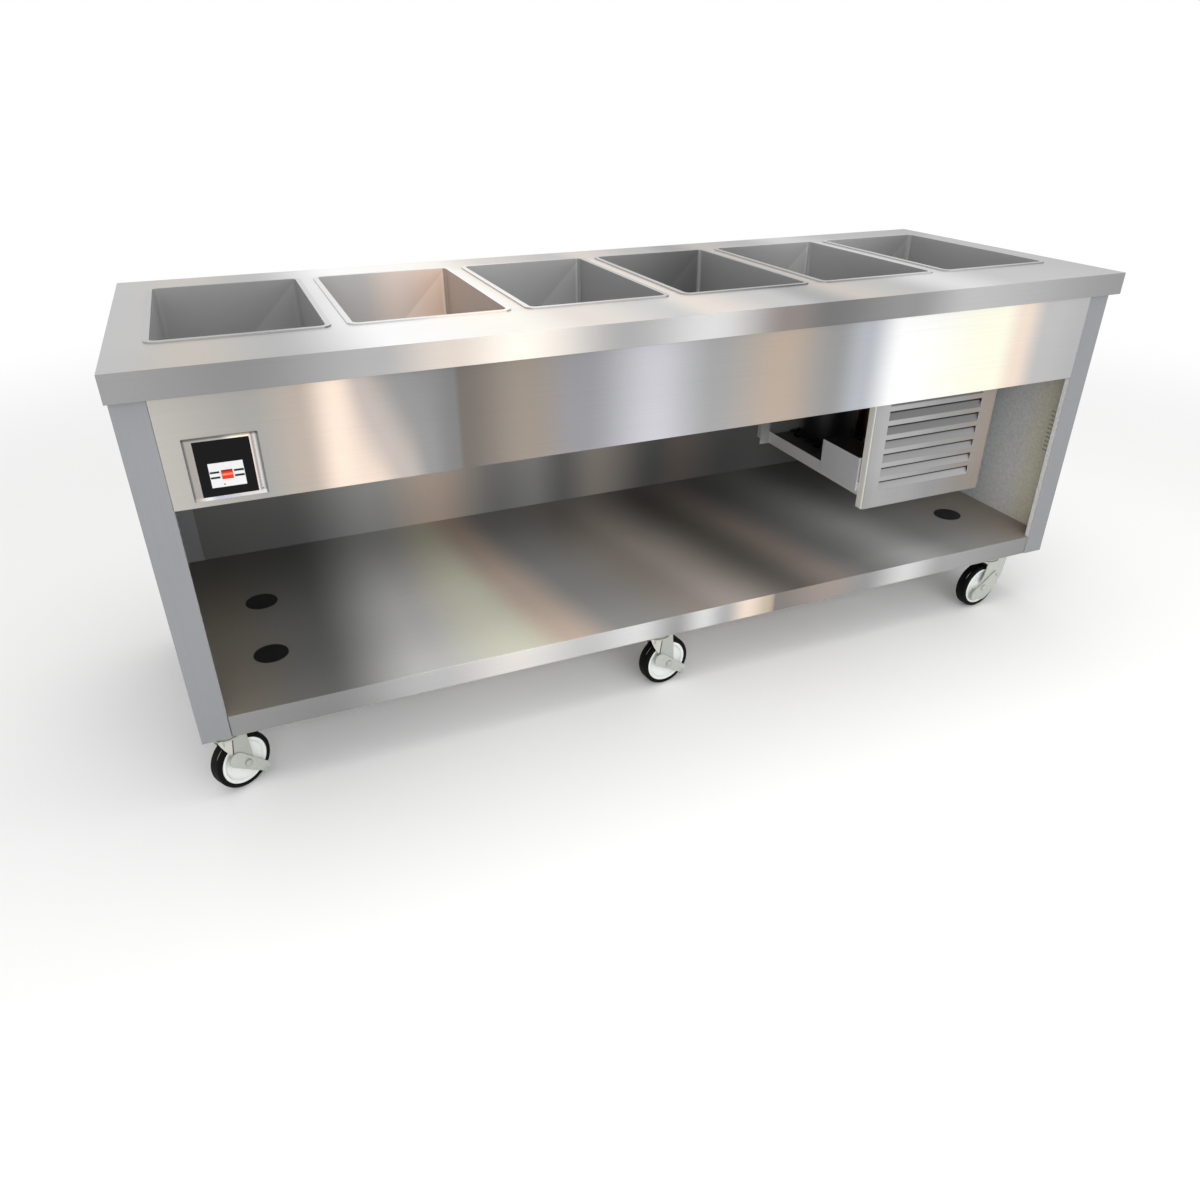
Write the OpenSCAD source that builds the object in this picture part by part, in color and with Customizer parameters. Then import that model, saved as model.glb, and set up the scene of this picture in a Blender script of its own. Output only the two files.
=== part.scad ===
// Mobile salad bar: a stainless serving counter with six cooled food wells, an open
// storage shelf, a slide-out condensing unit and six swivel casters.
// The origin is on the floor under the middle of the counter. +X runs to the right of
// the person who stands at the open front, -Y points at that person and +Z points up.

/* [Countertop] */
// Length of the countertop
top_l = 2235.2; // [2200:1:2400]
// Depth of the countertop
top_w = 810; // [790:1:900]
// Height of the work surface above the floor
top_h = 914.4; // [890:0.1:960]
// Thickness of the countertop sheet
top_t = 1.9; // [1.2:0.1:2.5]
// Height of the turned-down edge
edge_h = 50; // [35:1:65]
// Width of the lip turned in under the front and rear edges
edge_lip = 16; // [8:1:22]
// Overhang of the countertop past the front of the body
front_overhang = 28.5; // [25:0.5:40]
// Overhang of the countertop past the back of the body
rear_overhang = 26.8; // [25:0.1:40]

/* [Food wells] */
// Length of the countertop beyond the spaces of the six wells
well_margin = 101.6; // [96:0.1:130]
// Width of the strip between two well openings
well_web = 50.6; // [42:0.1:60]
// Depth of the countertop in front of the wells
front_strip = 187.5; // [180:0.5:200]
// Depth of the countertop behind the wells
rear_strip = 119.5; // [115:0.5:130]
// Depth of a well below the work surface
well_depth = 203; // [150:1:210]
// Corner radius of a well
well_r = 12; // [6:1:20]
// Thickness of the well sheet
well_t = 1.2; // [0.8:0.1:1.6]
// Width of the raised rim round a well
rim_w = 11; // [8:1:14]
// Height of the raised rim
rim_h = 2.5; // [1.5:0.1:4]

/* [Body] */
// Thickness of the body sheets
sheet_t = 1.2; // [0.9:0.1:1.6]
// Width of the front face of an end panel
post_w = 57.2; // [45:0.1:65]
// Depth of the flange turned back from that face
post_return = 15; // [12:1:16]
// Width of the rear flange of an end panel
rear_flange = 40; // [25:1:50]
// Distance from the work surface down to the lower edge of the front apron
apron_drop = 257.4; // [250:0.1:275]
// Depth of the flange turned back under the apron
apron_return = 24; // [15:1:30]
// Height of the top rails
top_rail_h = 40; // [30:1:60]
// Depth of the top rails
top_rail_w = 28; // [20:1:30]

/* [Bottom shelf] */
// Thickness of the shelf sheet
shelf_t = 1.5; // [1.2:0.1:2]
// Height of the shelf's front lip
shelf_lip = 50.4; // [45:0.1:60]
// Distance of the shelf lip behind the front of the body
shelf_set = 2.5; // [1.5:0.1:6]
// Radius of the access holes in the shelf
hole_r = 36; // [25:1:45]
// Radius of the flange of a hole plug
plug_r = 37.5; // [27:0.5:48]
// Distance of the access holes from the end panels
hole_inset = 160; // [150:1:200]
// Distance of the front access holes in front of the counter's middle
hole_front = 167; // [120:1:200]
// Distance of the rear access holes behind the counter's middle
hole_rear = 84; // [60:1:150]
// Width of a base channel under the shelf
channel_w = 80; // [76:1:80]
// Thickness of the base channels
channel_t = 2.5; // [2:0.1:3]

/* [Cold case] */
// Thickness of the foam round the wells
foam_side = 50; // [45:1:52]
// Thickness of the foam under the wells
foam_floor = 38; // [36:1:44]
// Thickness of the case sheet
case_t = 1; // [0.8:0.1:1.5]
// Width of the flange that holds the case under the countertop
case_flange = 8; // [6:1:12]
// Width and height of the evaporator tube
coil_w = 9; // [6:0.5:9.5]
// Distance between the turns of the evaporator tube
coil_pitch = 40; // [30:1:44]
// Number of evaporator turns round a well
coil_n = 4; // [2:1:4]
// Outer radius of the drain pipe
pipe_r = 13.35; // [11:0.01:14]
// Wall of the drain pipe
pipe_t = 2.9; // [1.5:0.1:3.5]
// Distance of the drain pipe's centre below the wells
pipe_drop = 18; // [16:1:20]

/* [Drain valve] */
// Radius of the valve body
valve_r = 21; // [18:0.5:26]
// Height of the valve body
valve_h = 46; // [40:1:60]
// Length of the drain pipe between the case and the valve
valve_drop = 12; // [6:1:30]
// Length of the outlet under the valve
outlet_h = 34; // [30:1:50]
// Length of the valve's lever
lever_l = 92; // [70:1:120]
// Width of the valve's lever
lever_w = 17; // [14:1:22]
// Thickness of the valve's lever
lever_t = 3; // [2:0.5:5]
// Radius of the valve's stem
stem_r = 4; // [3:0.5:6]

/* [Control] */
// Width of the control bezel
bezel_l = 125; // [110:1:140]
// Height of the control bezel
bezel_h = 115; // [100:1:125]
// Distance from the end panel's face to the control bezel
bezel_gap = 37; // [25:1:60]
// Distance from the apron's lower edge to the bezel
bezel_up = 11.5; // [8:0.5:15]
// How far the bezel stands proud of the apron
bezel_t = 2; // [1.5:0.1:4]
// Width of the black control face
face_l = 93; // [85:1:100]
// Height of the black control face
face_h = 102.2; // [90:0.1:106]
// Thickness of the control face
face_t = 2; // [1.5:0.1:3]
// Width of the pale label plate
label_l = 58; // [50:1:70]
// Height of the pale label plate
label_h = 45; // [35:1:55]
// Thickness of the label plate
label_t = 0.5; // [0.3:0.1:0.6]
// Distance from the control face's lower edge to the label plate
label_up = 15.8; // [10:0.1:25]
// Width of the power rocker
rocker_l = 18; // [14:0.5:22]
// Height of the power rocker
rocker_h = 16; // [13:0.5:20]
// Tilt of the rocker at rest
rocker_tilt = 8; // [4:1:10]
// Depth of the control box behind the apron
box_d = 62; // [50:1:80]

/* [Condensing unit] */
// Width of the condensing unit
unit_l = 376; // [370:1:400]
// Distance from the right end panel's inner face to the condensing unit
unit_inset = 248; // [230:1:270]
// Distance of the louvred panel behind the front of the body
panel_set = 41.5; // [35:0.5:60]
// Distance from the apron's lower edge down to the louvred panel's lower edge
panel_drop = 285; // [270:1:292]
// Gap between the louvred panel and the apron's lower edge
panel_gap = 7; // [5:0.5:12]
// Depth of the louvred panel's side flanges
panel_flange = 25; // [20:1:32]
// Outside bend radius of the louvred panel
panel_r = 7; // [4:1:10]
// Thickness of the louvred panel
panel_t = 1.2; // [1:0.1:1.6]
// Distance between louvres
louvre_pitch = 36.2; // [34:0.1:37]
// Number of full louvres
louvre_n = 6; // [3:1:6]
// Length of a louvre
louvre_l = 286; // [240:1:310]
// Height of a louvre's window
louvre_h = 24; // [18:1:28]
// How far a louvre's upper edge is pressed in
louvre_in = 10; // [7:0.5:12]
// Distance from the panel's lower edge to the top of the lowest window
louvre_up = 69.5; // [60:0.5:75]
// Distance of the tray's underside above the panel's lower edge
tray_up = 30; // [26:1:35]
// Height of the tray's rim
tray_h = 34; // [28:1:38]
// Length of the tray behind the panel
tray_l = 475; // [460:1:500]
// Thickness of the tray sheet
tray_t = 1.5; // [1.2:0.1:2]
// Depth of a rear post of the tray
post_d = 60; // [50:1:70]
// Width of the flange on a rear post
post_flange = 30; // [20:1:35]
// Thickness of a rear post
post_t = 2; // [1.5:0.1:3]
// Distance from the slide rails' rear end to the back panel
rail_rear = 37; // [25:1:60]
// Height of the channel in a slide rail
rail_h = 18; // [16:0.5:20]
// Depth of the channel in a slide rail
rail_w = 20; // [18:0.5:24]
// Thickness of the slide rails
rail_t = 2; // [1.5:0.1:2.5]
// Distance of the rails' channel below the apron's lower edge
rail_drop = 5; // [3.5:0.5:8]

/* [Cooling machinery] */
// Radius of the compressor's shell
comp_r = 74; // [60:1:80]
// Height of the compressor's shell
comp_h = 168; // [140:1:185]
// Length of the compressor's base plate
comp_base = 178; // [160:1:190]
// Height of the rubber feet
foot_h = 12; // [8:1:16]
// Radius of the rubber feet
foot_r = 11; // [8:0.5:14]
// Width of the condenser coil
cond_l = 276; // [250:1:280]
// Height of the condenser coil
cond_h = 210; // [190:1:215]
// Depth of the condenser coil
cond_d = 48; // [30:1:52]
// Number of fins that show
fin_n = 34; // [20:1:40]
// Radius of the fan ring's inside
ring_r = 92; // [80:1:96]
// Depth of the fan ring
ring_d = 32; // [24:1:40]
// Radius of the fan
fan_r = 86; // [70:1:88]
// Number of fan blades
fan_n = 5; // [3:1:7]
// Width of a fan blade
blade_w = 46; // [30:1:50]
// Pitch of the fan blades
blade_pitch = 26; // [15:1:30]
// Radius of the fan motor
motor_r = 40; // [30:1:45]
// Length of the fan motor
motor_l = 62; // [50:1:80]
// Radius of the fan's shaft
shaft_r = 4; // [3:0.5:6]
// Width of the relay box
relay_l = 78; // [60:1:80]
// Depth of the relay box
relay_d = 153; // [120:1:160]
// Height of the relay box above the tray's rim
relay_h = 64; // [50:1:90]
// Radius of the liquid receiver
tank_r = 34; // [25:1:36]
// Height of the liquid receiver
tank_h = 150; // [120:1:170]
// Radius of the copper lines
line_r = 4.8; // [3:0.1:6]

/* [Casters] */
// Mounting height of the casters
caster_h = 154.4; // [150:0.1:160]
// Radius of a wheel
wheel_r = 63.5; // [58:0.5:65]
// Width of a tyre
tyre_w = 32; // [26:1:34]
// Thickness of a tyre
tyre_d = 10.5; // [7:0.5:14]
// Offset of the axle behind the swivel
lead = 20; // [16:1:24]
// Distance of the left casters from the end panel
caster_inset_left = 43.2; // [42:0.1:60]
// Distance of the right casters from the end panel
caster_inset_right = 156.2; // [140:0.1:170]
// Offset of the middle casters from the counter's middle
caster_mid = -78; // [-100:1:60]
// Distance of the caster rows from the countertop's long edges
caster_side = 67; // [66:1:90]
// Width of a caster's top plate along the counter
plate_l = 84; // [80:0.5:84.5]
// Width of a caster's top plate across the counter
plate_w = 60; // [56:0.5:62]
// Thickness of a caster's top plate
plate_t = 3.2; // [2.5:0.1:4]
// Distance between the plate's bolts along the counter
bolt_l = 64; // [60:0.5:66]
// Distance between the plate's bolts across the counter
bolt_w = 32; // [30:0.5:33]
// Radius of the plate's bolts
bolt_r = 4; // [3:0.1:4.2]
// Thickness of the fork
fork_t = 3; // [2.5:0.1:4]
// Radius of the fork's crown
crown_r = 31; // [28:0.5:34]
// Radius of a leg's round lower end
leg_r = 16; // [14:0.5:20]
// Radius of the axle bolt
axle_r = 5; // [4:0.1:6]
// Radius of the king pin
king_r = 6; // [5:0.1:8]
// Reach of a brake pedal from the axle
pedal_l = 60; // [54:1:64]
// Width of a brake pedal's tab
pedal_w = 14; // [10:1:16]

/* [Hidden] */
// Overrun of every cut
cut = 0.5;
// Gap between sheets that only meet
seam = 0.5;
// Gap that lets a piece move freely
play = 0.4;
// Radial clearance of a pin in its bore
run = 0.05;
$fn = 48;

// Derived places of the countertop and the body
half_l = top_l / 2;
half_w = top_w / 2;
under_z = top_h - top_t;
end_x = half_l - top_t - seam;
in_x = end_x - sheet_t;
post_x = end_x - post_w;
front_y = front_overhang - half_w;
rear_y = half_w - rear_overhang;
wall_y = rear_y - sheet_t;
apron_z = top_h - apron_drop;
shelf_z = caster_h + shelf_lip;
shelf_y = front_y + shelf_set;
notch_y = front_y + post_return + seam;
rail_z = under_z - top_rail_h;

plug_h = 1.4;
plug_skirt = 9;
plug_wall = 2;
plug_fit = 0.3;

// Derived places of the wells and the cold case
well_n = 6;
well_pitch = (top_l - well_margin) / well_n;
well_l = well_pitch - well_web;
well_w = top_w - front_strip - rear_strip;
well_y = (front_strip - rear_strip) / 2;
well_ids = [0 : well_n - 1];
well_fit = 0.6;
well_out_l = well_l + 2 * well_t;
well_out_w = well_w + 2 * well_t;
well_bottom = top_h - well_depth - well_t;
coil_zone = coil_w + seam;
coil_first = 36;
case_l = (well_n - 1) * well_pitch + well_out_l + 2 * foam_side;
case_w = well_out_w + 2 * foam_side;
case_in_z = well_bottom - foam_floor;
case_z = case_in_z - case_t;
pipe_z = well_bottom - pipe_drop;
bore_r = pipe_r - pipe_t;
stub_step = 2;
stub_r = pipe_r - stub_step;
strainer_r = bore_r - stub_step;
drain_x = well_x(0);
valve_z1 = case_z - valve_drop;
valve_z0 = valve_z1 - valve_h;
outlet_z = valve_z0 - outlet_h;
valve_z = (valve_z0 + valve_z1) / 2;
boss_r = 11;
boss_l = 9;
stem_in = 12;
stem_y = well_y - valve_r - boss_l;
collar_r = 17;
collar_h = 9;

// Derived places of the control
bezel_x = -post_x + bezel_gap + bezel_l / 2;
bezel_z = apron_z + bezel_up + bezel_h / 2;
face_z0 = bezel_z - face_h / 2;
bezel_cut = 8;
face_back = 1;
face_y = front_y - bezel_t + face_back;
face_fit = 0.3;
label_z = face_z0 + label_up + label_h / 2;
rocker_z = label_z;
rocker_gap = 0.5;
rocker_d = 12;
rocker_proud = 2.2;
rocker_pin_r = 1.5;
rocker_pin_l = 3;
rocker_arc = 1.5;
rocker_slope = 45;
rocker_y = face_y + rocker_d / 2 - rocker_proud;
box_wall = 1.2;
switch_wall = 4;
box_l = bezel_l - 2 * bezel_cut;
box_h = face_h;
screw_r = 3;

// Derived places of the condensing unit
unit_x1 = in_x - unit_inset;
unit_x0 = unit_x1 - unit_l;
unit_cx = (unit_x0 + unit_x1) / 2;
panel_y = front_y + panel_set;
panel_z = apron_z - panel_drop;
panel_z1 = apron_z - panel_gap;
panel_back = panel_y + panel_flange;
louvre_z0 = panel_z + louvre_up;
louvre_shift = 3;
louvre_x = unit_x0 + unit_l / 2 - louvre_shift;
top_margin = 8;
top_window = panel_z1 - top_margin;
tray_z = panel_z + tray_up;
tray_top = tray_z + tray_t;
tray_y1 = panel_back + tray_l;
post_y = tray_y1 - post_d;
channel_z1 = apron_z - rail_drop;
channel_z0 = channel_z1 - rail_h - 2 * rail_t;
rail_mouth = 3.5;
rail_start = 5;
rail_y0 = panel_back + rail_start;
rail_y1 = wall_y - rail_rear;
rail_flange = 22;
runner_h = rail_h - 2 * play;
runner_z = channel_z0 + rail_t + play;
runner_lap = 8;
runner_y0 = panel_back - runner_lap;
runner_end = 15;
runner_y1 = rail_y1 - runner_end;
runner_w = rail_mouth + rail_w - rail_t - 2 * play;

// Derived places of the cooling machinery
cond_side = 12;
cond_x = unit_x1 - tray_t - cond_side - cond_l / 2;
cond_set = 10;
cond_y = panel_back + cond_set;
cond_y1 = cond_y + cond_d;
cond_frame = 3;
cond_z1 = tray_top + cond_h;
fin_t = 1;
fin_pitch = (cond_l - 2 * cond_frame) / fin_n;
header_r = 4.5;
shroud_t = 1.5;
ring_t = 2;
ring_y1 = cond_y1 + ring_d;
fan_z = tray_top + cond_h / 2;
fan_y = cond_y1 + ring_d / 2;
fan_hub_r = 17;
fan_hub_l = 20;
blade_t = 1.6;
blade_root = 3;
motor_gap = 22;
motor_y0 = ring_y1 + motor_gap;
motor_y1 = motor_y0 + motor_l;
shaft_out = 4;
shaft_y0 = fan_y - fan_hub_l / 2 - shaft_out;
stand_l = 54;
stand_t = 3;
stand_lap = 4;
comp_shift = 8;
comp_x = unit_cx - comp_shift;
comp_lap = 38;
comp_y = tray_y1 - post_d - comp_r + comp_lap;
comp_z = tray_top + foot_h + stand_t;
comp_dome = 32;
comp_seam_h = 5;
comp_seam_w = 3;
comp_seam_up = 96;
comp_base_w = 132;
foot_in = 17;
stud_r = 3;
stud_h = 12;
relay_out = 4;
relay_x0 = unit_x0 - relay_out;
relay_set = 5;
relay_y0 = panel_back + relay_set;
relay_y1 = relay_y0 + relay_d;
relay_z = tray_z + tray_h;
relay_z1 = relay_z + relay_h;
relay_skirt = 24;
relay_t = 1.5;
relay_tab_l = 3;
relay_tab_w = 9;
relay_tab_h = 42;
relay_tab_in = 50;
tank_side = 16;
tank_x = unit_x1 - tray_t - tank_r - tank_side;
tank_back = 4;
tank_y = comp_y + tank_back;
line_gap = 12;
line_y = motor_y1 + line_gap;
line_rise = 19;
elbow_r = line_r + seam;
elbow_drop = 14;
stub_in = 20;
line_high = comp_z + comp_h + line_rise;
line_mid = line_high - elbow_drop;

// Derived places of the casters
braked = 3;
caster_row = half_w - caster_side;
row_y = [-caster_row, caster_row];
col_x = [caster_inset_left - end_x, caster_mid, end_x - caster_inset_right];
caster_turn = [32, 8, 5, 200, 8, 14];
caster_trail = [1, 1, -1, -1, -1, -1];
plate_z = caster_h - plate_t;
race_h = 6.4;
race_r = 28;
race_z = plate_z - race_h;
crown_t = 5;
crown_z1 = race_z - play;
crown_z0 = crown_z1 - crown_t;
king_head_r = 10;
king_head_h = 4;
head_h = 5;
head_r = 6.6;
hole_fit = 0.4;
leg_gap = 4;
leg_y = tyre_w / 2 + leg_gap;
leg_waist_x = 11;
leg_waist_z = 105;
web_x = 18;
web_t = 3;
web_up = 66;
web_z = wheel_r + web_up;
hub_r = wheel_r - tyre_d;
hub_w = 29;
boss_w = leg_y - play;
hub_boss_r = 15;
hub_rim = 7;
dish_d = 6;
shoulder_r = 5;
axle_head_r = 8.5;
axle_head_h = 5.5;
axle_l = leg_y + fork_t;
sleeve_r = 8;
pedal_t = 3.4;
sleeve_l = pedal_t + 2 * play;
pedal_ring_r = 17.5;
pedal_tail = 30;
pedal_tail_r = 17;
pedal_end_r = 11;
pedal_lap = 0.5;
pedal_drop = [43, 35, -40];
pedal_tab_l = 15;
pedal_tab_t = 3;
pedal_tab_in = 5;

function well_x(i) = (i - (well_n - 1) / 2) * well_pitch;
function caster_x(i) = col_x[i % 3];
function caster_y(i) = row_y[floor(i / 3)];
function wheel_x(i) = caster_trail[i] * lead;

// Shared shapes

// A block given by its lowest and highest corners
module block(a, b) {
    translate(a) cube(b - a);
}

// A rectangle with true round corners
module round_rect(l, w, r) {
    square([l - 2 * r, w], center = true);
    square([l, w - 2 * r], center = true);
    for (sx = [-1, 1], sy = [-1, 1])
        translate([sx * (l / 2 - r), sy * (w / 2 - r)]) circle(r);
}

// A round-cornered slab from z0 up to z1 round a well's centre
module well_slab(i, l, w, r, z0, z1) {
    translate([well_x(i), well_y, z0]) linear_extrude(z1 - z0) round_rect(l, w, r);
}

// A straight rod between two points along one axis
module rod_x(p, l, r) { translate(p) rotate([0, 90, 0]) cylinder(h = l, r = r); }
module rod_y(p, l, r) { translate(p) rotate([-90, 0, 0]) cylinder(h = l, r = r); }
module rod_z(p, l, r) { translate(p) cylinder(h = l, r = r); }

// Countertop and wells

module countertop() color("gainsboro") {
    difference() {
        union() {
            block([-half_l, -half_w, under_z], [half_l, half_w, top_h]);
            for (s = [-1, 1]) {
                translate([0, s * (half_w - top_t / 2), top_h - edge_h / 2])
                    cube([top_l, top_t, edge_h], center = true);
                translate([0, s * (half_w - edge_lip / 2), top_h - edge_h + top_t / 2])
                    cube([top_l - 2 * top_t, edge_lip, top_t], center = true);
                translate([s * (half_l - top_t / 2), 0, top_h - edge_h / 2])
                    cube([top_t, top_w, edge_h], center = true);
            }
        }
        for (i = well_ids)
            well_slab(i, well_out_l + 2 * well_fit, well_out_w + 2 * well_fit,
                well_r + well_t + well_fit, under_z - cut, top_h + cut);
    }
}

module cold_well(i) color("lightslategray") {
    difference() {
        union() {
            well_slab(i, well_out_l, well_out_w, well_r + well_t, well_bottom, top_h + rim_h);
            well_slab(i, well_l + 2 * rim_w, well_w + 2 * rim_w, well_r + rim_w, top_h,
                top_h + rim_h);
        }
        well_slab(i, well_l, well_w, well_r, well_bottom + well_t, top_h + rim_h + cut);
        rod_z([well_x(i), well_y, well_bottom - cut], well_t + 2 * cut, strainer_r);
    }
}

// Cold case, foam, evaporator and drain

module well_case() color("silver") {
    half_cl = case_l / 2 + case_t;
    half_cw = case_w / 2 + case_t;
    difference() {
        union() {
            block([-half_cl, well_y - half_cw, case_z], [half_cl, well_y + half_cw, under_z]);
            block([-half_cl - case_flange, well_y - half_cw - case_flange, under_z - case_t],
                [half_cl + case_flange, well_y + half_cw + case_flange, under_z]);
        }
        block([-case_l / 2, well_y - case_w / 2, case_in_z],
            [case_l / 2, well_y + case_w / 2, under_z + cut]);
        rod_z([drain_x, well_y, case_z - cut], case_t + 2 * cut, stub_r + hole_fit);
    }
}

module well_insulation() color("khaki") {
    slot_w = pipe_r + seam;
    difference() {
        block([-case_l / 2, well_y - case_w / 2, case_in_z],
            [case_l / 2, well_y + case_w / 2, under_z]);
        for (i = well_ids)
            well_slab(i, well_out_l + 2 * coil_zone, well_out_w + 2 * coil_zone,
                well_r + well_t + coil_zone, well_bottom, under_z + cut);
        block([well_x(0) - slot_w, well_y - slot_w, case_in_z - cut],
            [well_x(well_n - 1) + slot_w, well_y + slot_w, well_bottom + cut]);
    }
}

module evaporator_lines() color("peru") {
    for (i = well_ids, j = [0 : coil_n - 1]) {
        z = well_bottom + coil_first + j * coil_pitch;
        difference() {
            well_slab(i, well_out_l + 2 * coil_w, well_out_w + 2 * coil_w,
                well_r + well_t + coil_w, z, z + coil_w);
            well_slab(i, well_out_l, well_out_w, well_r + well_t, z - cut, z + coil_w + cut);
        }
    }
}

module drain_manifold() color("darkgoldenrod") {
    run_l = well_x(well_n - 1) - well_x(0);
    difference() {
        union() {
            rod_x([well_x(0) - pipe_r, well_y, pipe_z], run_l + 2 * pipe_r, pipe_r);
            for (i = well_ids)
                rod_z([well_x(i), well_y, pipe_z], well_bottom - pipe_z, stub_r);
            rod_z([drain_x, well_y, valve_z1], pipe_z - valve_z1, stub_r);
        }
        rod_x([well_x(0), well_y, pipe_z], run_l, bore_r);
        for (i = well_ids)
            rod_z([well_x(i), well_y, pipe_z], well_bottom - pipe_z + cut, strainer_r);
        rod_z([drain_x, well_y, valve_z1 - cut], pipe_z - valve_z1 + cut, strainer_r);
    }
}

module drain_valve_body() color("goldenrod") {
    difference() {
        union() {
            rod_z([drain_x, well_y, valve_z0], valve_h, valve_r);
            rod_z([drain_x, well_y, outlet_z], outlet_h, pipe_r);
            rod_y([drain_x, stem_y, valve_z], valve_r + boss_l, boss_r);
        }
        rod_z([drain_x, well_y, outlet_z - cut], outlet_h + valve_h + 2 * cut, bore_r);
        rod_y([drain_x, stem_y - cut, valve_z], stem_in + cut, stem_r + run);
    }
}

module drain_lever() color("firebrick") {
    lever_y = stem_y - play - lever_t;
    rod_y([drain_x, lever_y, valve_z], lever_t + play + stem_in - play, stem_r);
    rod_y([drain_x, lever_y, valve_z], lever_t, lever_w / 2);
    block([drain_x, lever_y, valve_z - lever_w / 2],
        [drain_x + lever_l - lever_w / 2, lever_y + lever_t, valve_z + lever_w / 2]);
    rod_y([drain_x + lever_l - lever_w / 2, lever_y, valve_z], lever_t, lever_w / 2);
}

// Body

module end_panel() color("gray") {
    block([in_x, front_y, caster_h], [end_x, rear_y, under_z]);
    block([post_x, front_y, caster_h], [end_x, front_y + sheet_t, under_z]);
    block([post_x, front_y, caster_h], [post_x + sheet_t, front_y + post_return, under_z]);
    block([end_x - rear_flange, wall_y - sheet_t, caster_h], [end_x, wall_y, under_z]);
}

module end_panel_left() { mirror([1, 0, 0]) end_panel(); }
module end_panel_right() { end_panel(); }

module back_panel() color("dimgray") {
    block([-in_x, wall_y, caster_h], [in_x, rear_y, under_z]);
}

module front_apron() color("lightgray") {
    apron_x = post_x - seam;
    difference() {
        union() {
            block([-apron_x, front_y, apron_z], [apron_x, front_y + sheet_t, under_z]);
            block([-apron_x, front_y, apron_z], [apron_x, front_y + apron_return, apron_z + sheet_t]);
        }
        block([bezel_x - box_l / 2, front_y - cut, bezel_z - box_h / 2],
            [bezel_x + box_l / 2, front_y + sheet_t + cut, bezel_z + box_h / 2]);
    }
}

// One top rail, a channel that opens downwards, between two faces across the counter
module top_rail(y0, y1) {
    difference() {
        block([seam - post_x, y0, rail_z], [post_x - seam, y1, under_z]);
        block([-post_x, y0 + sheet_t, rail_z - cut], [post_x, y1 - sheet_t, under_z - sheet_t]);
    }
}

module top_rails() color("darkgray") {
    top_rail(front_y + sheet_t, front_y + sheet_t + top_rail_w);
    top_rail(wall_y - top_rail_w, wall_y);
}

module bottom_shelf() color("slategray") {
    rear_x = end_x - rear_flange - seam;
    rear_notch = wall_y - sheet_t - seam;
    difference() {
        union() {
            block([-in_x, notch_y, caster_h], [in_x, rear_notch, shelf_z]);
            block([seam - post_x, shelf_y, caster_h], [post_x - seam, notch_y + seam, shelf_z]);
            block([-rear_x, rear_notch - seam, caster_h], [rear_x, wall_y, shelf_z]);
        }
        block([shelf_t - in_x, notch_y + shelf_t, caster_h - cut],
            [in_x - shelf_t, rear_notch - shelf_t, shelf_z - shelf_t]);
        block([seam - post_x + shelf_t, shelf_y + shelf_t, caster_h - cut],
            [post_x - seam - shelf_t, notch_y + 2 * shelf_t, shelf_z - shelf_t]);
        block([shelf_t - rear_x, rear_notch - 2 * shelf_t, caster_h - cut],
            [rear_x - shelf_t, wall_y - shelf_t, shelf_z - shelf_t]);
        access_holes(shelf_z - shelf_t - cut, shelf_t + 2 * cut, hole_r);
    }
}

// Cylinders at the four access holes of the shelf
module access_holes(z, h, r) {
    for (sx = [-1, 1], y = [-hole_front, hole_rear])
        rod_z([sx * (in_x - hole_inset), y, z], h, r);
}

module shelf_hole_plugs() color("black") {
    difference() {
        union() {
            access_holes(shelf_z, plug_h, plug_r);
            access_holes(shelf_z - plug_skirt, plug_skirt, hole_r - plug_fit);
        }
        access_holes(shelf_z - plug_skirt - cut, plug_skirt + cut, hole_r - plug_fit - plug_wall);
    }
}

module base_channels() color("darkgray") {
    y0 = notch_y + shelf_t + seam;
    y1 = wall_y - sheet_t - shelf_t - 2 * seam;
    for (x = col_x)
        difference() {
            block([x - channel_w / 2, y0, caster_h], [x + channel_w / 2, y1, shelf_z - shelf_t]);
            block([x - channel_w / 2 + channel_t, y0 - cut, caster_h + channel_t],
                [x + channel_w / 2 - channel_t, y1 + cut, shelf_z]);
            for (y = row_y) plate_holes(x, y, caster_h - cut, channel_t + 2 * cut);
            access_holes(shelf_z - plug_skirt - seam, plug_skirt + seam, hole_r + seam);
        }
}

// Control

module control_bezel() color("whitesmoke") {
    difference() {
        block([bezel_x - bezel_l / 2, front_y - bezel_t, bezel_z - bezel_h / 2],
            [bezel_x + bezel_l / 2, front_y, bezel_z + bezel_h / 2]);
        block([bezel_x - face_l / 2 - face_fit, front_y - bezel_t - cut, bezel_z - face_h / 2],
            [bezel_x + face_l / 2 + face_fit, front_y + cut, bezel_z + face_h / 2]);
    }
}

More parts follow.
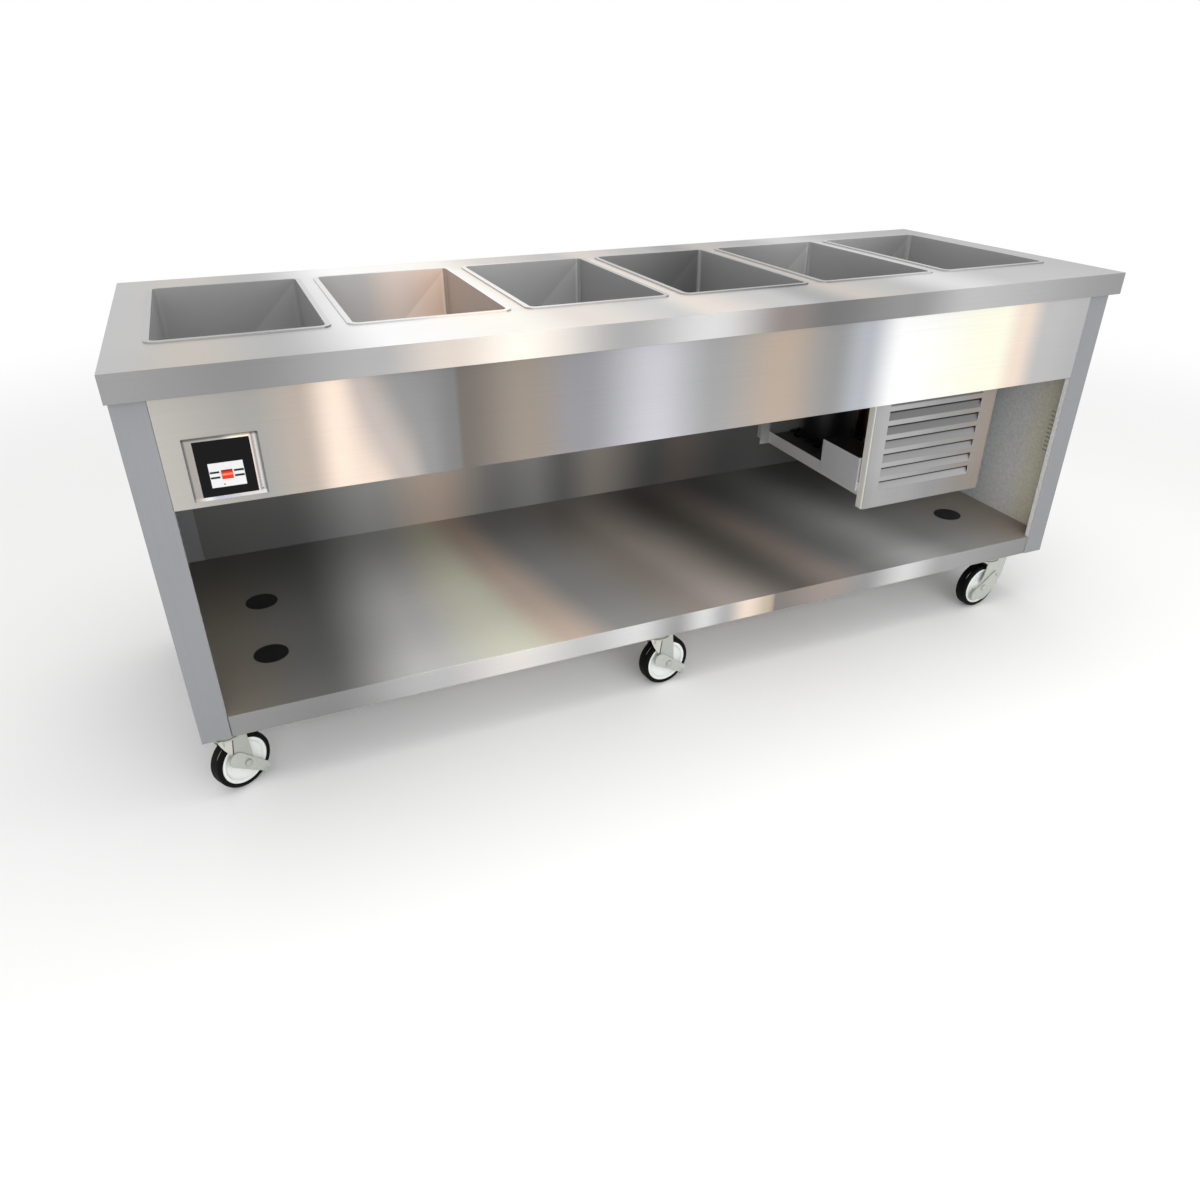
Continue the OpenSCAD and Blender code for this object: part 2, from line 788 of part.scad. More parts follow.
module control_box() color("lightsteelblue") {
    y1 = front_y + box_d;
    back_y = face_y + face_t;
    l2 = box_l / 2 - face_fit;
    h2 = box_h / 2 - face_fit;
    difference() {
        block([bezel_x - l2, back_y, bezel_z - h2], [bezel_x + l2, y1, bezel_z + h2]);
        block([bezel_x - l2 + box_wall, back_y - cut, bezel_z - h2 + box_wall],
            [bezel_x + l2 - box_wall, y1 - box_wall, bezel_z + h2 - box_wall]);
    }
    difference() {
        union() {
            block([bezel_x - rocker_l, back_y, rocker_z - rocker_h],
                [bezel_x + rocker_l, back_y + rocker_d + switch_wall, rocker_z + rocker_h]);
            block([bezel_x - rocker_l, back_y + rocker_d, rocker_z - rocker_h],
                [bezel_x + rocker_l, y1 - box_wall / 2, rocker_z]);
        }
        block([bezel_x - rocker_l / 2 - rocker_gap, back_y - cut, rocker_z - rocker_h / 2 - switch_wall],
            [bezel_x + rocker_l / 2 + rocker_gap, back_y + rocker_d + cut,
                rocker_z + rocker_h / 2 + switch_wall]);
        rod_x([bezel_x - rocker_l / 2 - rocker_pin_l - play, rocker_y, rocker_z],
            rocker_l + 2 * rocker_pin_l + 2 * play, rocker_pin_r + run);
    }
}

// The window that the rocker moves in
module rocker_window(y0, y1) {
    block([bezel_x - rocker_l / 2 - rocker_gap, y0, rocker_z - rocker_h / 2 - rocker_gap],
        [bezel_x + rocker_l / 2 + rocker_gap, y1, rocker_z + rocker_h / 2 + rocker_gap]);
}

module control_face() color("black") {
    difference() {
        block([bezel_x - face_l / 2, face_y, face_z0],
            [bezel_x + face_l / 2, face_y + face_t, face_z0 + face_h]);
        rocker_window(face_y - cut, face_y + face_t + cut);
    }
}

module control_label() color("white") {
    difference() {
        block([bezel_x - label_l / 2, face_y - label_t, label_z - label_h / 2],
            [bezel_x + label_l / 2, face_y, label_z + label_h / 2]);
        rocker_window(face_y - label_t - cut, face_y + cut);
    }
}

module power_rocker() color("red") {
    d2 = rocker_d / 2;
    h2 = rocker_h / 2 - rocker_arc / 2;
    translate([bezel_x, rocker_y, rocker_z]) rotate([rocker_tilt, 0, 0]) {
        difference() {
            block([-rocker_l / 2, -d2, -h2], [rocker_l / 2, d2, h2]);
            for (s = [-1, 1])
                translate([0, d2, s * rocker_h / 2])
                    rotate([s * rocker_slope, 0, 0]) cube([rocker_l + cut, d2, d2], center = true);
        }
        rod_x([-rocker_l / 2 - rocker_pin_l, 0, 0], rocker_l + 2 * rocker_pin_l, rocker_pin_r);
    }
}

// Condensing unit: rails, tray and louvred panel

// Mirrors a left-hand piece to the right-hand side of the unit as well
module both_sides() {
    children();
    translate([2 * unit_cx, 0, 0]) mirror([1, 0, 0]) children();
}

module slide_rail() {
    x0 = unit_x0 + rail_mouth;
    x1 = x0 + rail_w;
    block([x1 - rail_t, rail_y0, channel_z0], [x1, rail_y1, case_z]);
    block([x0, rail_y0, channel_z0], [x1, rail_y1, channel_z0 + rail_t]);
    block([x0, rail_y0, channel_z1 - rail_t], [x1, rail_y1, channel_z1]);
    block([x1 - rail_t, rail_y0, case_z - rail_t], [x1 + rail_flange, rail_y1, case_z]);
}

module slide_rails() color("darkgray") { both_sides() slide_rail(); }

module hanger_side() {
    block([unit_x0, runner_y0, runner_z], [unit_x0 + runner_w, runner_y1, runner_z + runner_h]);
    block([unit_x0 - post_t, post_y, tray_z], [unit_x0, tray_y1, runner_z + runner_h]);
    block([unit_x0 - post_flange, post_y, tray_z],
        [unit_x0, post_y + post_t, runner_z + runner_h]);
}

module unit_hanger_frame() color("silver") {
    difference() {
        both_sides() hanger_side();
        block([unit_x0 - cut, runner_y0 - cut, runner_z - cut],
            [unit_x0 + panel_t, panel_back, runner_z + runner_h + cut]);
        block([unit_x1 - panel_t, runner_y0 - cut, runner_z - cut],
            [unit_x1 + cut, panel_back, runner_z + runner_h + cut]);
    }
}

module unit_tray() color("lightgray") {
    difference() {
        block([unit_x0, panel_back, tray_z], [unit_x1, tray_y1, tray_z + tray_h]);
        block([unit_x0 + tray_t, panel_back + tray_t, tray_top],
            [unit_x1 - tray_t, tray_y1 - tray_t, tray_z + tray_h + cut]);
    }
}

// Outline of the panel seen from above: a face with two flanges and round bends
module panel_plan(inset, over) {
    l = unit_l - 2 * inset;
    r = panel_r - inset;
    y1 = panel_flange - inset + over;
    translate([unit_x0 + inset, panel_y + inset]) {
        translate([r, 0]) square([l - 2 * r, y1]);
        translate([0, r]) square([l, y1 - r]);
        for (x = [r, l - r]) translate([x, r]) circle(r);
    }
}

// A louvre's blade, from the face at its lower edge in and up to its upper edge
module louvre_blade(z0, z1) {
    depth = louvre_in * (z1 - z0) / louvre_h;
    translate([louvre_x - louvre_l / 2, panel_y, 0]) rotate([90, 0, 90])
        linear_extrude(louvre_l)
            polygon([[0, z0 - panel_t], [panel_t, z0 - panel_t], [depth + panel_t, z1],
                [depth, z1]]);
}

module louvre_window(z0, z1) {
    block([louvre_x - louvre_l / 2, panel_y - cut, z0],
        [louvre_x + louvre_l / 2, panel_y + panel_t + cut, z1]);
}

module louvre_panel() color("whitesmoke") {
    difference() {
        translate([0, 0, panel_z]) linear_extrude(panel_z1 - panel_z) panel_plan(0, 0);
        translate([0, 0, panel_z + panel_t]) linear_extrude(panel_z1 - panel_z)
            panel_plan(panel_t, cut);
        for (i = [0 : louvre_n - 1]) {
            z = louvre_z0 + i * louvre_pitch;
            louvre_window(z - louvre_h, z);
        }
        louvre_window(louvre_z0 + louvre_n * louvre_pitch - louvre_h, top_window);
    }
    for (i = [0 : louvre_n - 1]) {
        z = louvre_z0 + i * louvre_pitch;
        louvre_blade(z - louvre_h, z);
    }
    louvre_blade(louvre_z0 + louvre_n * louvre_pitch - louvre_h, top_window);
}

// Cooling machinery

module condenser_coil() color("darkslategray") {
    x0 = cond_x - cond_l / 2;
    x1 = cond_x + cond_l / 2;
    for (x = [x0, x1 - cond_frame])
        block([x, cond_y, tray_top], [x + cond_frame, cond_y1, cond_z1]);
    for (z = [tray_top, cond_z1 - cond_frame])
        block([x0, cond_y, z], [x1, cond_y1, z + cond_frame]);
    block([x0, cond_y + cond_d / 2 - header_r, tray_top], [x1, cond_y + cond_d / 2 + header_r, cond_z1]);
    for (i = [1 : fin_n - 1])
        block([x0 + cond_frame + i * fin_pitch, cond_y, tray_top],
            [x0 + cond_frame + i * fin_pitch + fin_t, cond_y1, cond_z1]);
}

module fan_shroud() color("darkgray") {
    difference() {
        union() {
            block([cond_x - cond_l / 2, cond_y1, tray_top],
                [cond_x + cond_l / 2, cond_y1 + shroud_t, cond_z1]);
            rod_y([cond_x, cond_y1, fan_z], ring_d, ring_r + ring_t);
        }
        rod_y([cond_x, cond_y1 - cut, fan_z], ring_d + 2 * cut, ring_r);
    }
}

module fan_motor() color("dimgray") {
    rod_y([cond_x, motor_y0, fan_z], motor_l, motor_r);
    rod_y([cond_x, shaft_y0, fan_z], motor_y0 - shaft_y0, shaft_r);
    block([cond_x - stand_l / 2, motor_y0 + stand_lap, tray_top],
        [cond_x + stand_l / 2, motor_y0 + stand_lap + stand_t, fan_z]);
    block([cond_x - stand_l / 2, motor_y0 + stand_lap, tray_top],
        [cond_x + stand_l / 2, motor_y1, tray_top + stand_t]);
}

module fan_blade() color("silver") {
    difference() {
        union() {
            rod_y([cond_x, fan_y - fan_hub_l / 2, fan_z], fan_hub_l, fan_hub_r);
            for (i = [0 : fan_n - 1])
                translate([cond_x, fan_y, fan_z]) rotate([0, i * 360 / fan_n, 0])
                    translate([fan_hub_r - blade_root, 0, 0]) rotate([blade_pitch, 0, 0])
                        translate([0, -blade_t / 2, -blade_w / 2])
                            cube([fan_r - fan_hub_r - blade_root, blade_t, blade_w]);
        }
        rod_y([cond_x, fan_y - fan_hub_l / 2 - cut, fan_z], fan_hub_l + 2 * cut, shaft_r + run);
    }
}

module compressor() color("black") {
    translate([comp_x, comp_y, comp_z]) {
        rotate_extrude() {
            difference() {
                union() {
                    square([comp_r - comp_dome, comp_h]);
                    square([comp_r, comp_h - comp_dome]);
                    translate([comp_r - comp_dome, comp_h - comp_dome]) circle(comp_dome);
                }
                translate([-comp_r - cut, -cut]) square([comp_r + cut, comp_h + 2 * cut]);
            }
        }
        translate([0, 0, comp_seam_up]) cylinder(h = comp_seam_h, r = comp_r + comp_seam_w);
        difference() {
            translate([-comp_base / 2, -comp_base_w / 2, -stand_t])
                cube([comp_base, comp_base_w, stand_t]);
            comp_feet() translate([0, 0, -stand_t - cut])
                cylinder(h = stand_t + 2 * cut, r = stud_r + hole_fit);
        }
    }
}

// The four feet's places, from the middle of the compressor
module comp_feet() {
    for (sx = [-1, 1], sy = [-1, 1])
        translate([sx * (comp_base / 2 - foot_in), sy * (comp_base_w / 2 - foot_in), 0])
            children();
}

module compressor_feet() color("dimgray") {
    translate([comp_x, comp_y, tray_top]) comp_feet() {
        cylinder(h = foot_h, r = foot_r);
        cylinder(h = foot_h + stud_h, r = stud_r);
    }
}

module relay_box() color("gainsboro") {
    x1 = relay_x0 + relay_l;
    in_x0 = unit_x0 + tray_t + seam;
    difference() {
        union() {
            block([relay_x0, relay_y0, relay_z], [x1, relay_y1, relay_z1]);
            block([relay_x0, relay_y0, relay_z - relay_skirt], [unit_x0, relay_y1, relay_z + cut]);
            block([in_x0, relay_y0, tray_top], [x1, relay_y1, relay_z + cut]);
        }
        block([in_x0 + relay_t, relay_y0 + relay_t, tray_top - cut],
            [x1 - relay_t, relay_y1 - relay_t, relay_z1 - relay_t]);
    }
    block([x1 - relay_tab_in, relay_y0, relay_z1 - cut],
        [x1 - relay_tab_in + relay_tab_l, relay_y0 + relay_tab_w, relay_z1 + relay_tab_h]);
}

// A copper line through points that lie along the axes, with round elbows
module line(points) {
    for (i = [0 : len(points) - 2]) {
        d = points[i + 1] - points[i];
        translate(points[i]) {
            if (abs(d[0]) > 0) mirror([d[0] < 0 ? 1 : 0, 0, 0]) rod_x([0, 0, 0], abs(d[0]), line_r);
            if (abs(d[1]) > 0) mirror([0, d[1] < 0 ? 1 : 0, 0]) rod_y([0, 0, 0], abs(d[1]), line_r);
            if (abs(d[2]) > 0) mirror([0, 0, d[2] < 0 ? 1 : 0]) rod_z([0, 0, 0], abs(d[2]), line_r);
        }
    }
    for (i = [1 : len(points) - 2]) translate(points[i]) sphere(elbow_r);
}

module receiver_and_lines() color("peru") {
    rod_z([tank_x, tank_y, tray_top], tank_h, tank_r);
    line([[tank_x, tank_y, tray_top + tank_h], [tank_x, tank_y, line_mid],
        [tank_x, line_y, line_mid], [tank_x, line_y, cond_z1 - stub_in],
        [tank_x, cond_y1 + shroud_t, cond_z1 - stub_in]]);
    line([[comp_x, comp_y, comp_z + comp_h], [comp_x, comp_y, line_high],
        [comp_x, line_y, line_high], [cond_x - cond_l / 2 + stub_in, line_y, line_high],
        [cond_x - cond_l / 2 + stub_in, line_y, cond_z1 - stub_in],
        [cond_x - cond_l / 2 + stub_in, cond_y1 + shroud_t, cond_z1 - stub_in]]);
}

// Casters

// Puts a piece at caster i, in a frame with the swivel axis on Z and the axle along Y
module at_caster(i) {
    translate([caster_x(i), caster_y(i), 0]) rotate([0, 0, caster_turn[i]]) children();
}

module plate_holes(x, y, z, h) {
    for (sx = [-1, 1], sy = [-1, 1])
        rod_z([x + sx * bolt_l / 2, y + sy * bolt_w / 2, z], h, bolt_r + hole_fit);
}

module caster_plate(x, y) {
    difference() {
        block([x - plate_l / 2, y - plate_w / 2, plate_z], [x + plate_l / 2, y + plate_w / 2, caster_h]);
        plate_holes(x, y, plate_z - cut, plate_t + 2 * cut);
    }
    rod_z([x, y, race_z], race_h, race_r);
    rod_z([x, y, crown_z0 - play - king_head_h], race_z + play + king_head_h - crown_z0, king_r);
    rod_z([x, y, crown_z0 - play - king_head_h], king_head_h, king_head_r);
    for (sx = [-1, 1], sy = [-1, 1])
        translate([x + sx * bolt_l / 2, y + sy * bolt_w / 2, 0]) {
            translate([0, 0, plate_z - head_h]) cylinder(h = head_h, r = head_r, $fn = 6);
            rod_z([0, 0, plate_z - cut], plate_t + channel_t + head_h + cut, bolt_r);
        }
}

module caster_plates() color("silver") {
    for (x = col_x, y = row_y) caster_plate(x, y);
}

// The side view of a fork's leg: from the crown down and back to the axle
module leg_shape() {
    polygon([[crown_r, crown_z1], [-crown_r, crown_z1], [-lead - leg_r, wheel_r],
        [-lead + leg_r, wheel_r], [leg_waist_x, leg_waist_z]]);
    translate([-lead, wheel_r]) circle(leg_r);
}

module fork(i) color("lightgray") at_caster(i) mirror([caster_trail[i] > 0 ? 1 : 0, 0, 0]) {
    difference() {
        union() {
            translate([0, 0, crown_z0]) cylinder(h = crown_t, r = crown_r);
            for (s = [-1, 1])
                translate([0, s * (leg_y + fork_t / 2) + fork_t / 2, 0])
                    rotate([90, 0, 0]) linear_extrude(fork_t) leg_shape();
            block([web_x, -leg_y - fork_t, web_z], [web_x + web_t, leg_y + fork_t, crown_z1]);
        }
        translate([0, 0, crown_z0 - cut]) cylinder(h = crown_t + 2 * cut, r = king_r + run);
        rod_y([-lead, -axle_l - cut, wheel_r], 2 * axle_l + 2 * cut, axle_r);
    }
    end_y = -axle_l - (i < braked ? sleeve_l : 0);
    rod_y([-lead, end_y, wheel_r], axle_l - end_y, axle_r);
    if (i < braked) rod_y([-lead, end_y, wheel_r], sleeve_l, sleeve_r);
    rod_y([-lead, end_y - axle_head_h, wheel_r], axle_head_h, axle_head_r);
    translate([-lead, axle_l, wheel_r]) rotate([-90, 0, 0])
        cylinder(h = axle_head_h, r = axle_head_r, $fn = 6);
}

// A wheel's hub: a rim and a boss joined by a dished disc
module hub(i) color("white") at_caster(i) {
    translate([wheel_x(i), 0, wheel_r]) rotate([-90, 0, 0]) difference() {
        union() {
            translate([0, 0, -hub_w / 2]) cylinder(h = hub_w, r = hub_r);
            translate([0, 0, -boss_w]) cylinder(h = 2 * boss_w, r = hub_boss_r);
        }
        for (s = [-1, 1]) mirror([0, 0, s > 0 ? 1 : 0])
            translate([0, 0, hub_w / 2 - dish_d]) difference() {
                cylinder(h = dish_d + cut, r = hub_r - hub_rim);
                translate([0, 0, -cut]) cylinder(h = dish_d + 3 * cut, r = hub_boss_r);
            }
        translate([0, 0, -boss_w - cut]) cylinder(h = 2 * boss_w + 2 * cut, r = axle_r + run);
    }
}

module tyre(i) color("black") at_caster(i) {
    translate([wheel_x(i), 0, wheel_r]) rotate([-90, 0, 0]) rotate_extrude() {
        translate([hub_r, -tyre_w / 2]) square([tyre_d - shoulder_r, tyre_w]);
        translate([hub_r, shoulder_r - tyre_w / 2]) square([tyre_d, tyre_w - 2 * shoulder_r]);
        for (s = [-1, 1])
            translate([wheel_r - shoulder_r, s * (tyre_w / 2 - shoulder_r)]) circle(shoulder_r);
    }
}

// A brake pedal: an oval plate round the axle, with a tab to step on
module brake_pedal(i) color("gainsboro") at_caster(i) {
    y1 = -axle_l - play;
    end_x = pedal_l - pedal_end_r;
    tail_w = pedal_tail_r - pedal_lap;
    end_w = pedal_end_r - pedal_lap;
    tab_x = pedal_l - pedal_tab_in;
    translate([wheel_x(i), y1, wheel_r]) rotate([90, pedal_drop[i], 0]) {
        difference() {
            union() {
                cylinder(h = pedal_t, r = pedal_ring_r);
                translate([-pedal_tail, 0, 0]) cylinder(h = pedal_t, r = pedal_tail_r);
                translate([end_x, 0, 0]) cylinder(h = pedal_t, r = pedal_end_r);
                linear_extrude(pedal_t)
                    polygon([[-pedal_tail, -tail_w], [end_x, -end_w], [end_x, end_w], [-pedal_tail, tail_w]]);
                translate([tab_x - pedal_tab_t, -pedal_w / 2, 0])
                    cube([pedal_tab_t, pedal_w, pedal_tab_l]);
            }
            translate([0, 0, -cut]) cylinder(h = pedal_t + 2 * cut, r = sleeve_r + run);
        }
    }
}

countertop();
cold_well(0);  // cold_well_1
cold_well(1);  // cold_well_2
cold_well(2);  // cold_well_3
cold_well(3);  // cold_well_4
cold_well(4);  // cold_well_5
cold_well(5);  // cold_well_6
well_case();
well_insulation();
evaporator_lines();
drain_manifold();
drain_valve_body();
drain_lever();
end_panel_left();
end_panel_right();
back_panel();
front_apron();
top_rails();
bottom_shelf();
base_channels();
shelf_hole_plugs();
control_bezel();
control_box();
control_face();
control_label();
power_rocker();
slide_rails();
unit_tray();
unit_hanger_frame();
louvre_panel();
condenser_coil();
fan_shroud();
fan_motor();
fan_blade();
compressor();
compressor_feet();
relay_box();
receiver_and_lines();
caster_plates();
fork(0);  // fork_front_left
fork(1);  // fork_front_middle
fork(2);  // fork_front_right
fork(3);  // fork_rear_left
fork(4);  // fork_rear_middle
fork(5);  // fork_rear_right
hub(0);  // hub_front_left
hub(1);  // hub_front_middle
hub(2);  // hub_front_right
hub(3);  // hub_rear_left
hub(4);  // hub_rear_middle
hub(5);  // hub_rear_right
tyre(0);  // tyre_front_left
tyre(1);  // tyre_front_middle
tyre(2);  // tyre_front_right
tyre(3);  // tyre_rear_left
tyre(4);  // tyre_rear_middle
tyre(5);  // tyre_rear_right
brake_pedal(0);  // brake_pedal_left
brake_pedal(1);  // brake_pedal_middle
brake_pedal(2);  // brake_pedal_right
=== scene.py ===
from math import cos, pi, radians, sin, tau

import bmesh
import bpy
from mathutils import Matrix, Vector


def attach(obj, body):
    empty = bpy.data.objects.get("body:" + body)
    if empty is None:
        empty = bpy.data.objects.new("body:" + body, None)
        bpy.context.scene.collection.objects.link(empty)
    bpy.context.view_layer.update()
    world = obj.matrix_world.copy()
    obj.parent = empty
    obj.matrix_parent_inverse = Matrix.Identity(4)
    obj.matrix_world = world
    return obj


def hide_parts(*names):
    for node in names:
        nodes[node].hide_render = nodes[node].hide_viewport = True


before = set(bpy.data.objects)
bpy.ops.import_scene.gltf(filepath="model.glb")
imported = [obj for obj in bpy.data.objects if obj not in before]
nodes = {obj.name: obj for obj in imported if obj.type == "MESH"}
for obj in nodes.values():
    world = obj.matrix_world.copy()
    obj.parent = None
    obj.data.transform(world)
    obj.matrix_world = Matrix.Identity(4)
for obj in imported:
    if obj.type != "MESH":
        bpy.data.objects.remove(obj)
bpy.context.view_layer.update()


def node_box(name):
    """The lowest and the highest corner of a CAD node."""
    node = nodes[name]
    corners = [node.matrix_world @ Vector(c) for c in node.bound_box]
    return [Vector([pick(c[i] for c in corners) for i in range(3)]) for pick in (min, max)]


# Camera: the photograph's viewpoint, in metres
cam_data = bpy.data.cameras.new("camera")
cam_data.sensor_fit = "HORIZONTAL"
cam_data.sensor_width = 36
cam_data.lens = 26.893
cam_data.clip_end = 60
camera = bpy.data.objects.new("camera", cam_data)
camera.location = (-0.9267, -1.9948, 1.3109)
camera.rotation_euler = (radians(60.338), radians(0.042), radians(-22.8456))
bpy.context.scene.collection.objects.link(camera)
bpy.context.scene.camera = camera


# Materials

def lin(r, g=None, b=None):
    """A colour written as sRGB 0-255, as the linear colour that a socket takes."""
    if g is None:
        g = b = r
    out = []
    for v in (r, g, b):
        v = v / 255
        out.append(v / 12.92 if v <= 0.04045 else ((v + 0.055) / 1.055) ** 2.4)
    return (*out, 1)


# No stop of a ramp is brighter than this, however much the ramp is lifted
BRIGHTEST = 0.96


class Mat:
    """A small builder for one material's nodes. Places are metres in the object's frame."""

    def __init__(self, name, rough, metal):
        self.mat = bpy.data.materials.new(name)
        self.mat.use_nodes = True
        self.tree = self.mat.node_tree
        self.tree.nodes.clear()
        self.bsdf = self.node("ShaderNodeBsdfPrincipled")
        self.out = self.node("ShaderNodeOutputMaterial")
        self.link(self.bsdf.outputs[0], self.out.inputs[0])
        self.set("Metallic", metal)
        self.set("Roughness", rough)
        self.coord = self.node("ShaderNodeTexCoord")
        self.place = self.coord.outputs["Object"]
        split = self.node("ShaderNodeSeparateXYZ")
        self.link(self.place, split.inputs[0])
        self.x, self.y, self.z = split.outputs
        face = self.node("ShaderNodeSeparateXYZ")
        self.link(self.coord.outputs["Normal"], face.inputs[0])
        self.nx, self.ny, self.nz = face.outputs

    def node(self, kind):
        return self.tree.nodes.new(kind)

    def link(self, a, b):
        self.tree.links.new(a, b)

    def put(self, value, socket):
        """value is a number, a colour or another node's output."""
        if isinstance(value, bpy.types.NodeSocket):
            self.link(value, socket)
        elif socket.type == "VECTOR":
            socket.default_value = value[:3]
        else:
            socket.default_value = value

    def set(self, name, value):
        self.put(value, self.bsdf.inputs[name])

    def math(self, op, a, b=0.0, c=0.0):
        n = self.node("ShaderNodeMath")
        n.operation = op
        for v, s in zip((a, b, c), n.inputs):
            self.put(v, s)
        return n.outputs[0]

    def near(self, value, low, high):
        """0 at low, 1 at high, smooth between; high may be the smaller."""
        n = self.node("ShaderNodeMapRange")
        n.interpolation_type = "SMOOTHSTEP"
        self.put(value, n.inputs["Value"])
        if low < high:
            ends = (low, high, 0, 1)
        else:
            ends = (high, low, 1, 0)
        for k, v in zip(("From Min", "From Max", "To Min", "To Max"), ends):
            n.inputs[k].default_value = v
        return n.outputs[0]

    def up(self):
        """1 on the faces that look up, 0 on the walls."""
        return self.near(self.nz, 0.6, 0.8)

    def front(self):
        """1 on the faces that look to the front."""
        return self.near(self.ny, -0.4, -0.6)

    def all_of(self, *factors):
        """The product of the factors. Where they run from 0 to 1, it is 1 only where all of them are."""
        product = factors[0]
        for factor in factors[1:]:
            product = self.math("MULTIPLY", product, factor)
        return product

    def band(self, value, low, high, soft):
        """1 between low and high, 0 outside, with edges that are soft to either side."""
        rise = self.near(value, low - soft, low + soft)
        fall = self.near(value, high + soft, high - soft)
        return self.all_of(rise, fall)

    def patch(self, x0, x1, z0, z1, soft=0.0003):
        """1 inside a rectangle of the x-z plane, 0 outside it."""
        return self.all_of(self.band(self.x, x0, x1, soft), self.band(self.z, z0, z1, soft))

    def noise(self, size, detail=3.0, rough=0.55):
        """Noise with features of size (x, y, z) metres, from 0 to 1."""
        m = self.node("ShaderNodeMapping")
        m.inputs["Scale"].default_value = tuple(1 / s for s in size)
        self.link(self.place, m.inputs["Vector"])
        n = self.node("ShaderNodeTexNoise")
        n.inputs["Scale"].default_value = 1
        n.inputs["Detail"].default_value = detail
        n.inputs["Roughness"].default_value = rough
        self.link(m.outputs[0], n.inputs["Vector"])
        return n.outputs["Fac"]

    def mix(self, fac, a, b):
        """Colour a where fac is 0, colour b where it is 1."""
        n = self.node("ShaderNodeMix")
        n.data_type = "RGBA"
        self.put(fac, n.inputs["Factor"])
        self.put(a, n.inputs["A"])
        self.put(b, n.inputs["B"])
        return n.outputs["Result"]

    def ramp(self, value, stops, lift=1.0):
        """stops is a list of (place in metres, sRGB colour); lift multiplies the linear colours."""
        low, high = stops[0][0], stops[-1][0]
        n = self.node("ShaderNodeMapRange")
        self.put(value, n.inputs["Value"])
        n.inputs["From Min"].default_value = low
        n.inputs["From Max"].default_value = high
        r = self.node("ShaderNodeValToRGB")
        r.color_ramp.interpolation = "EASE"
        self.link(n.outputs[0], r.inputs[0])
        e = r.color_ramp.elements
        for i, (place, colour) in enumerate(stops):
            at = (place - low) / (high - low)
            s = e[i] if i < 2 else e.new(at)
            s.position = at
            c = lin(*colour) if isinstance(colour, tuple) else lin(colour)
            s.color = [min(lift * v, BRIGHTEST) for v in c[:3]] + [1]
        return r.outputs[0]

    def gain(self, colour, value, low, high):
        """colour times a factor that runs from low to high as value goes from 0 to 1."""
        n = self.node("ShaderNodeMapRange")
        self.put(value, n.inputs["Value"])
        n.inputs["To Min"].default_value = low
        n.inputs["To Max"].default_value = high
        v = self.node("ShaderNodeVectorMath")
        v.operation = "SCALE"
        self.put(colour, v.inputs[0])
        self.link(n.outputs[0], v.inputs["Scale"])
        return v.outputs[0]

    def finish(self, base, fine, rough, depth):
        """Sets the base colour, and a roughness and a bump that follow the fine grain."""
        self.set("Base Color", base)
        n = self.node("ShaderNodeMapRange")
        self.put(fine, n.inputs["Value"])
        n.inputs["To Min"].default_value = rough - 0.06
        n.inputs["To Max"].default_value = rough + 0.08
        self.set("Roughness", n.outputs[0])
        self.bump(fine, depth)
        return self.mat

    def bump(self, height, depth):
        n = self.node("ShaderNodeBump")
        n.inputs["Distance"].default_value = depth
        self.link(height, n.inputs["Height"])
        self.set("Normal", n.outputs[0])


# Places on single nodes that their colours follow, from the frame
BEZEL_LOW, BEZEL_HIGH = node_box("control_bezel")
LABEL_LOW, LABEL_HIGH = node_box("control_label")
PANEL_FRONT = node_box("louvre_panel")[0].y
WELL_LOW, WELL_HIGH = node_box("cold_well_1")
WELL_RIM = 0.011
WELL_PITCH = node_box("cold_well_2")[0].x - WELL_LOW.x
FIRST_CELL = (WELL_LOW.x + WELL_HIGH.x - WELL_PITCH) / 2
POST_FACE = node_box("end_panel_right")[1].x

# Brushed lines: their length and their width, along x or along z
GRAIN = {"x": (0.25, 0.0009, 0.0009), "z": (0.0009, 0.0009, 0.25)}
CLOUD = (0.5, 0.3, 0.3)


def base_of(m, colour):
    """colour is a function of the material, or sRGB values."""
    return colour(m) if callable(colour) else lin(*colour)


def brushed(name, colour, grain="x", rough=0.34, metal=0.8, streak=0.1):
    """Brushed stainless sheet."""
    m = Mat(name, rough, metal)
    base = base_of(m, colour)
    lines = m.noise(GRAIN[grain], 4, 0.6)
    cloud = m.noise(CLOUD, 2, 0.5)
    base = m.gain(base, lines, 1 - streak, 1 + streak)
    base = m.gain(base, cloud, 0.95, 1.05)
    return m.finish(base, lines, rough, 0.00004)


def plain(name, colour, rough=0.5, metal=0.0, grain=(0.01, 0.01, 0.01), spread=0.08, depth=0.0001,
        gloss=0.5):
    """A finish without direction: paint, rubber, plastic, zinc."""
    m = Mat(name, rough, metal)
    m.set("Specular IOR Level", gloss)
    spots = m.noise(grain, 4, 0.6)
    base = base_of(m, colour)
    return m.finish(m.gain(base, spots, 1 - spread, 1 + spread), spots, rough, depth)


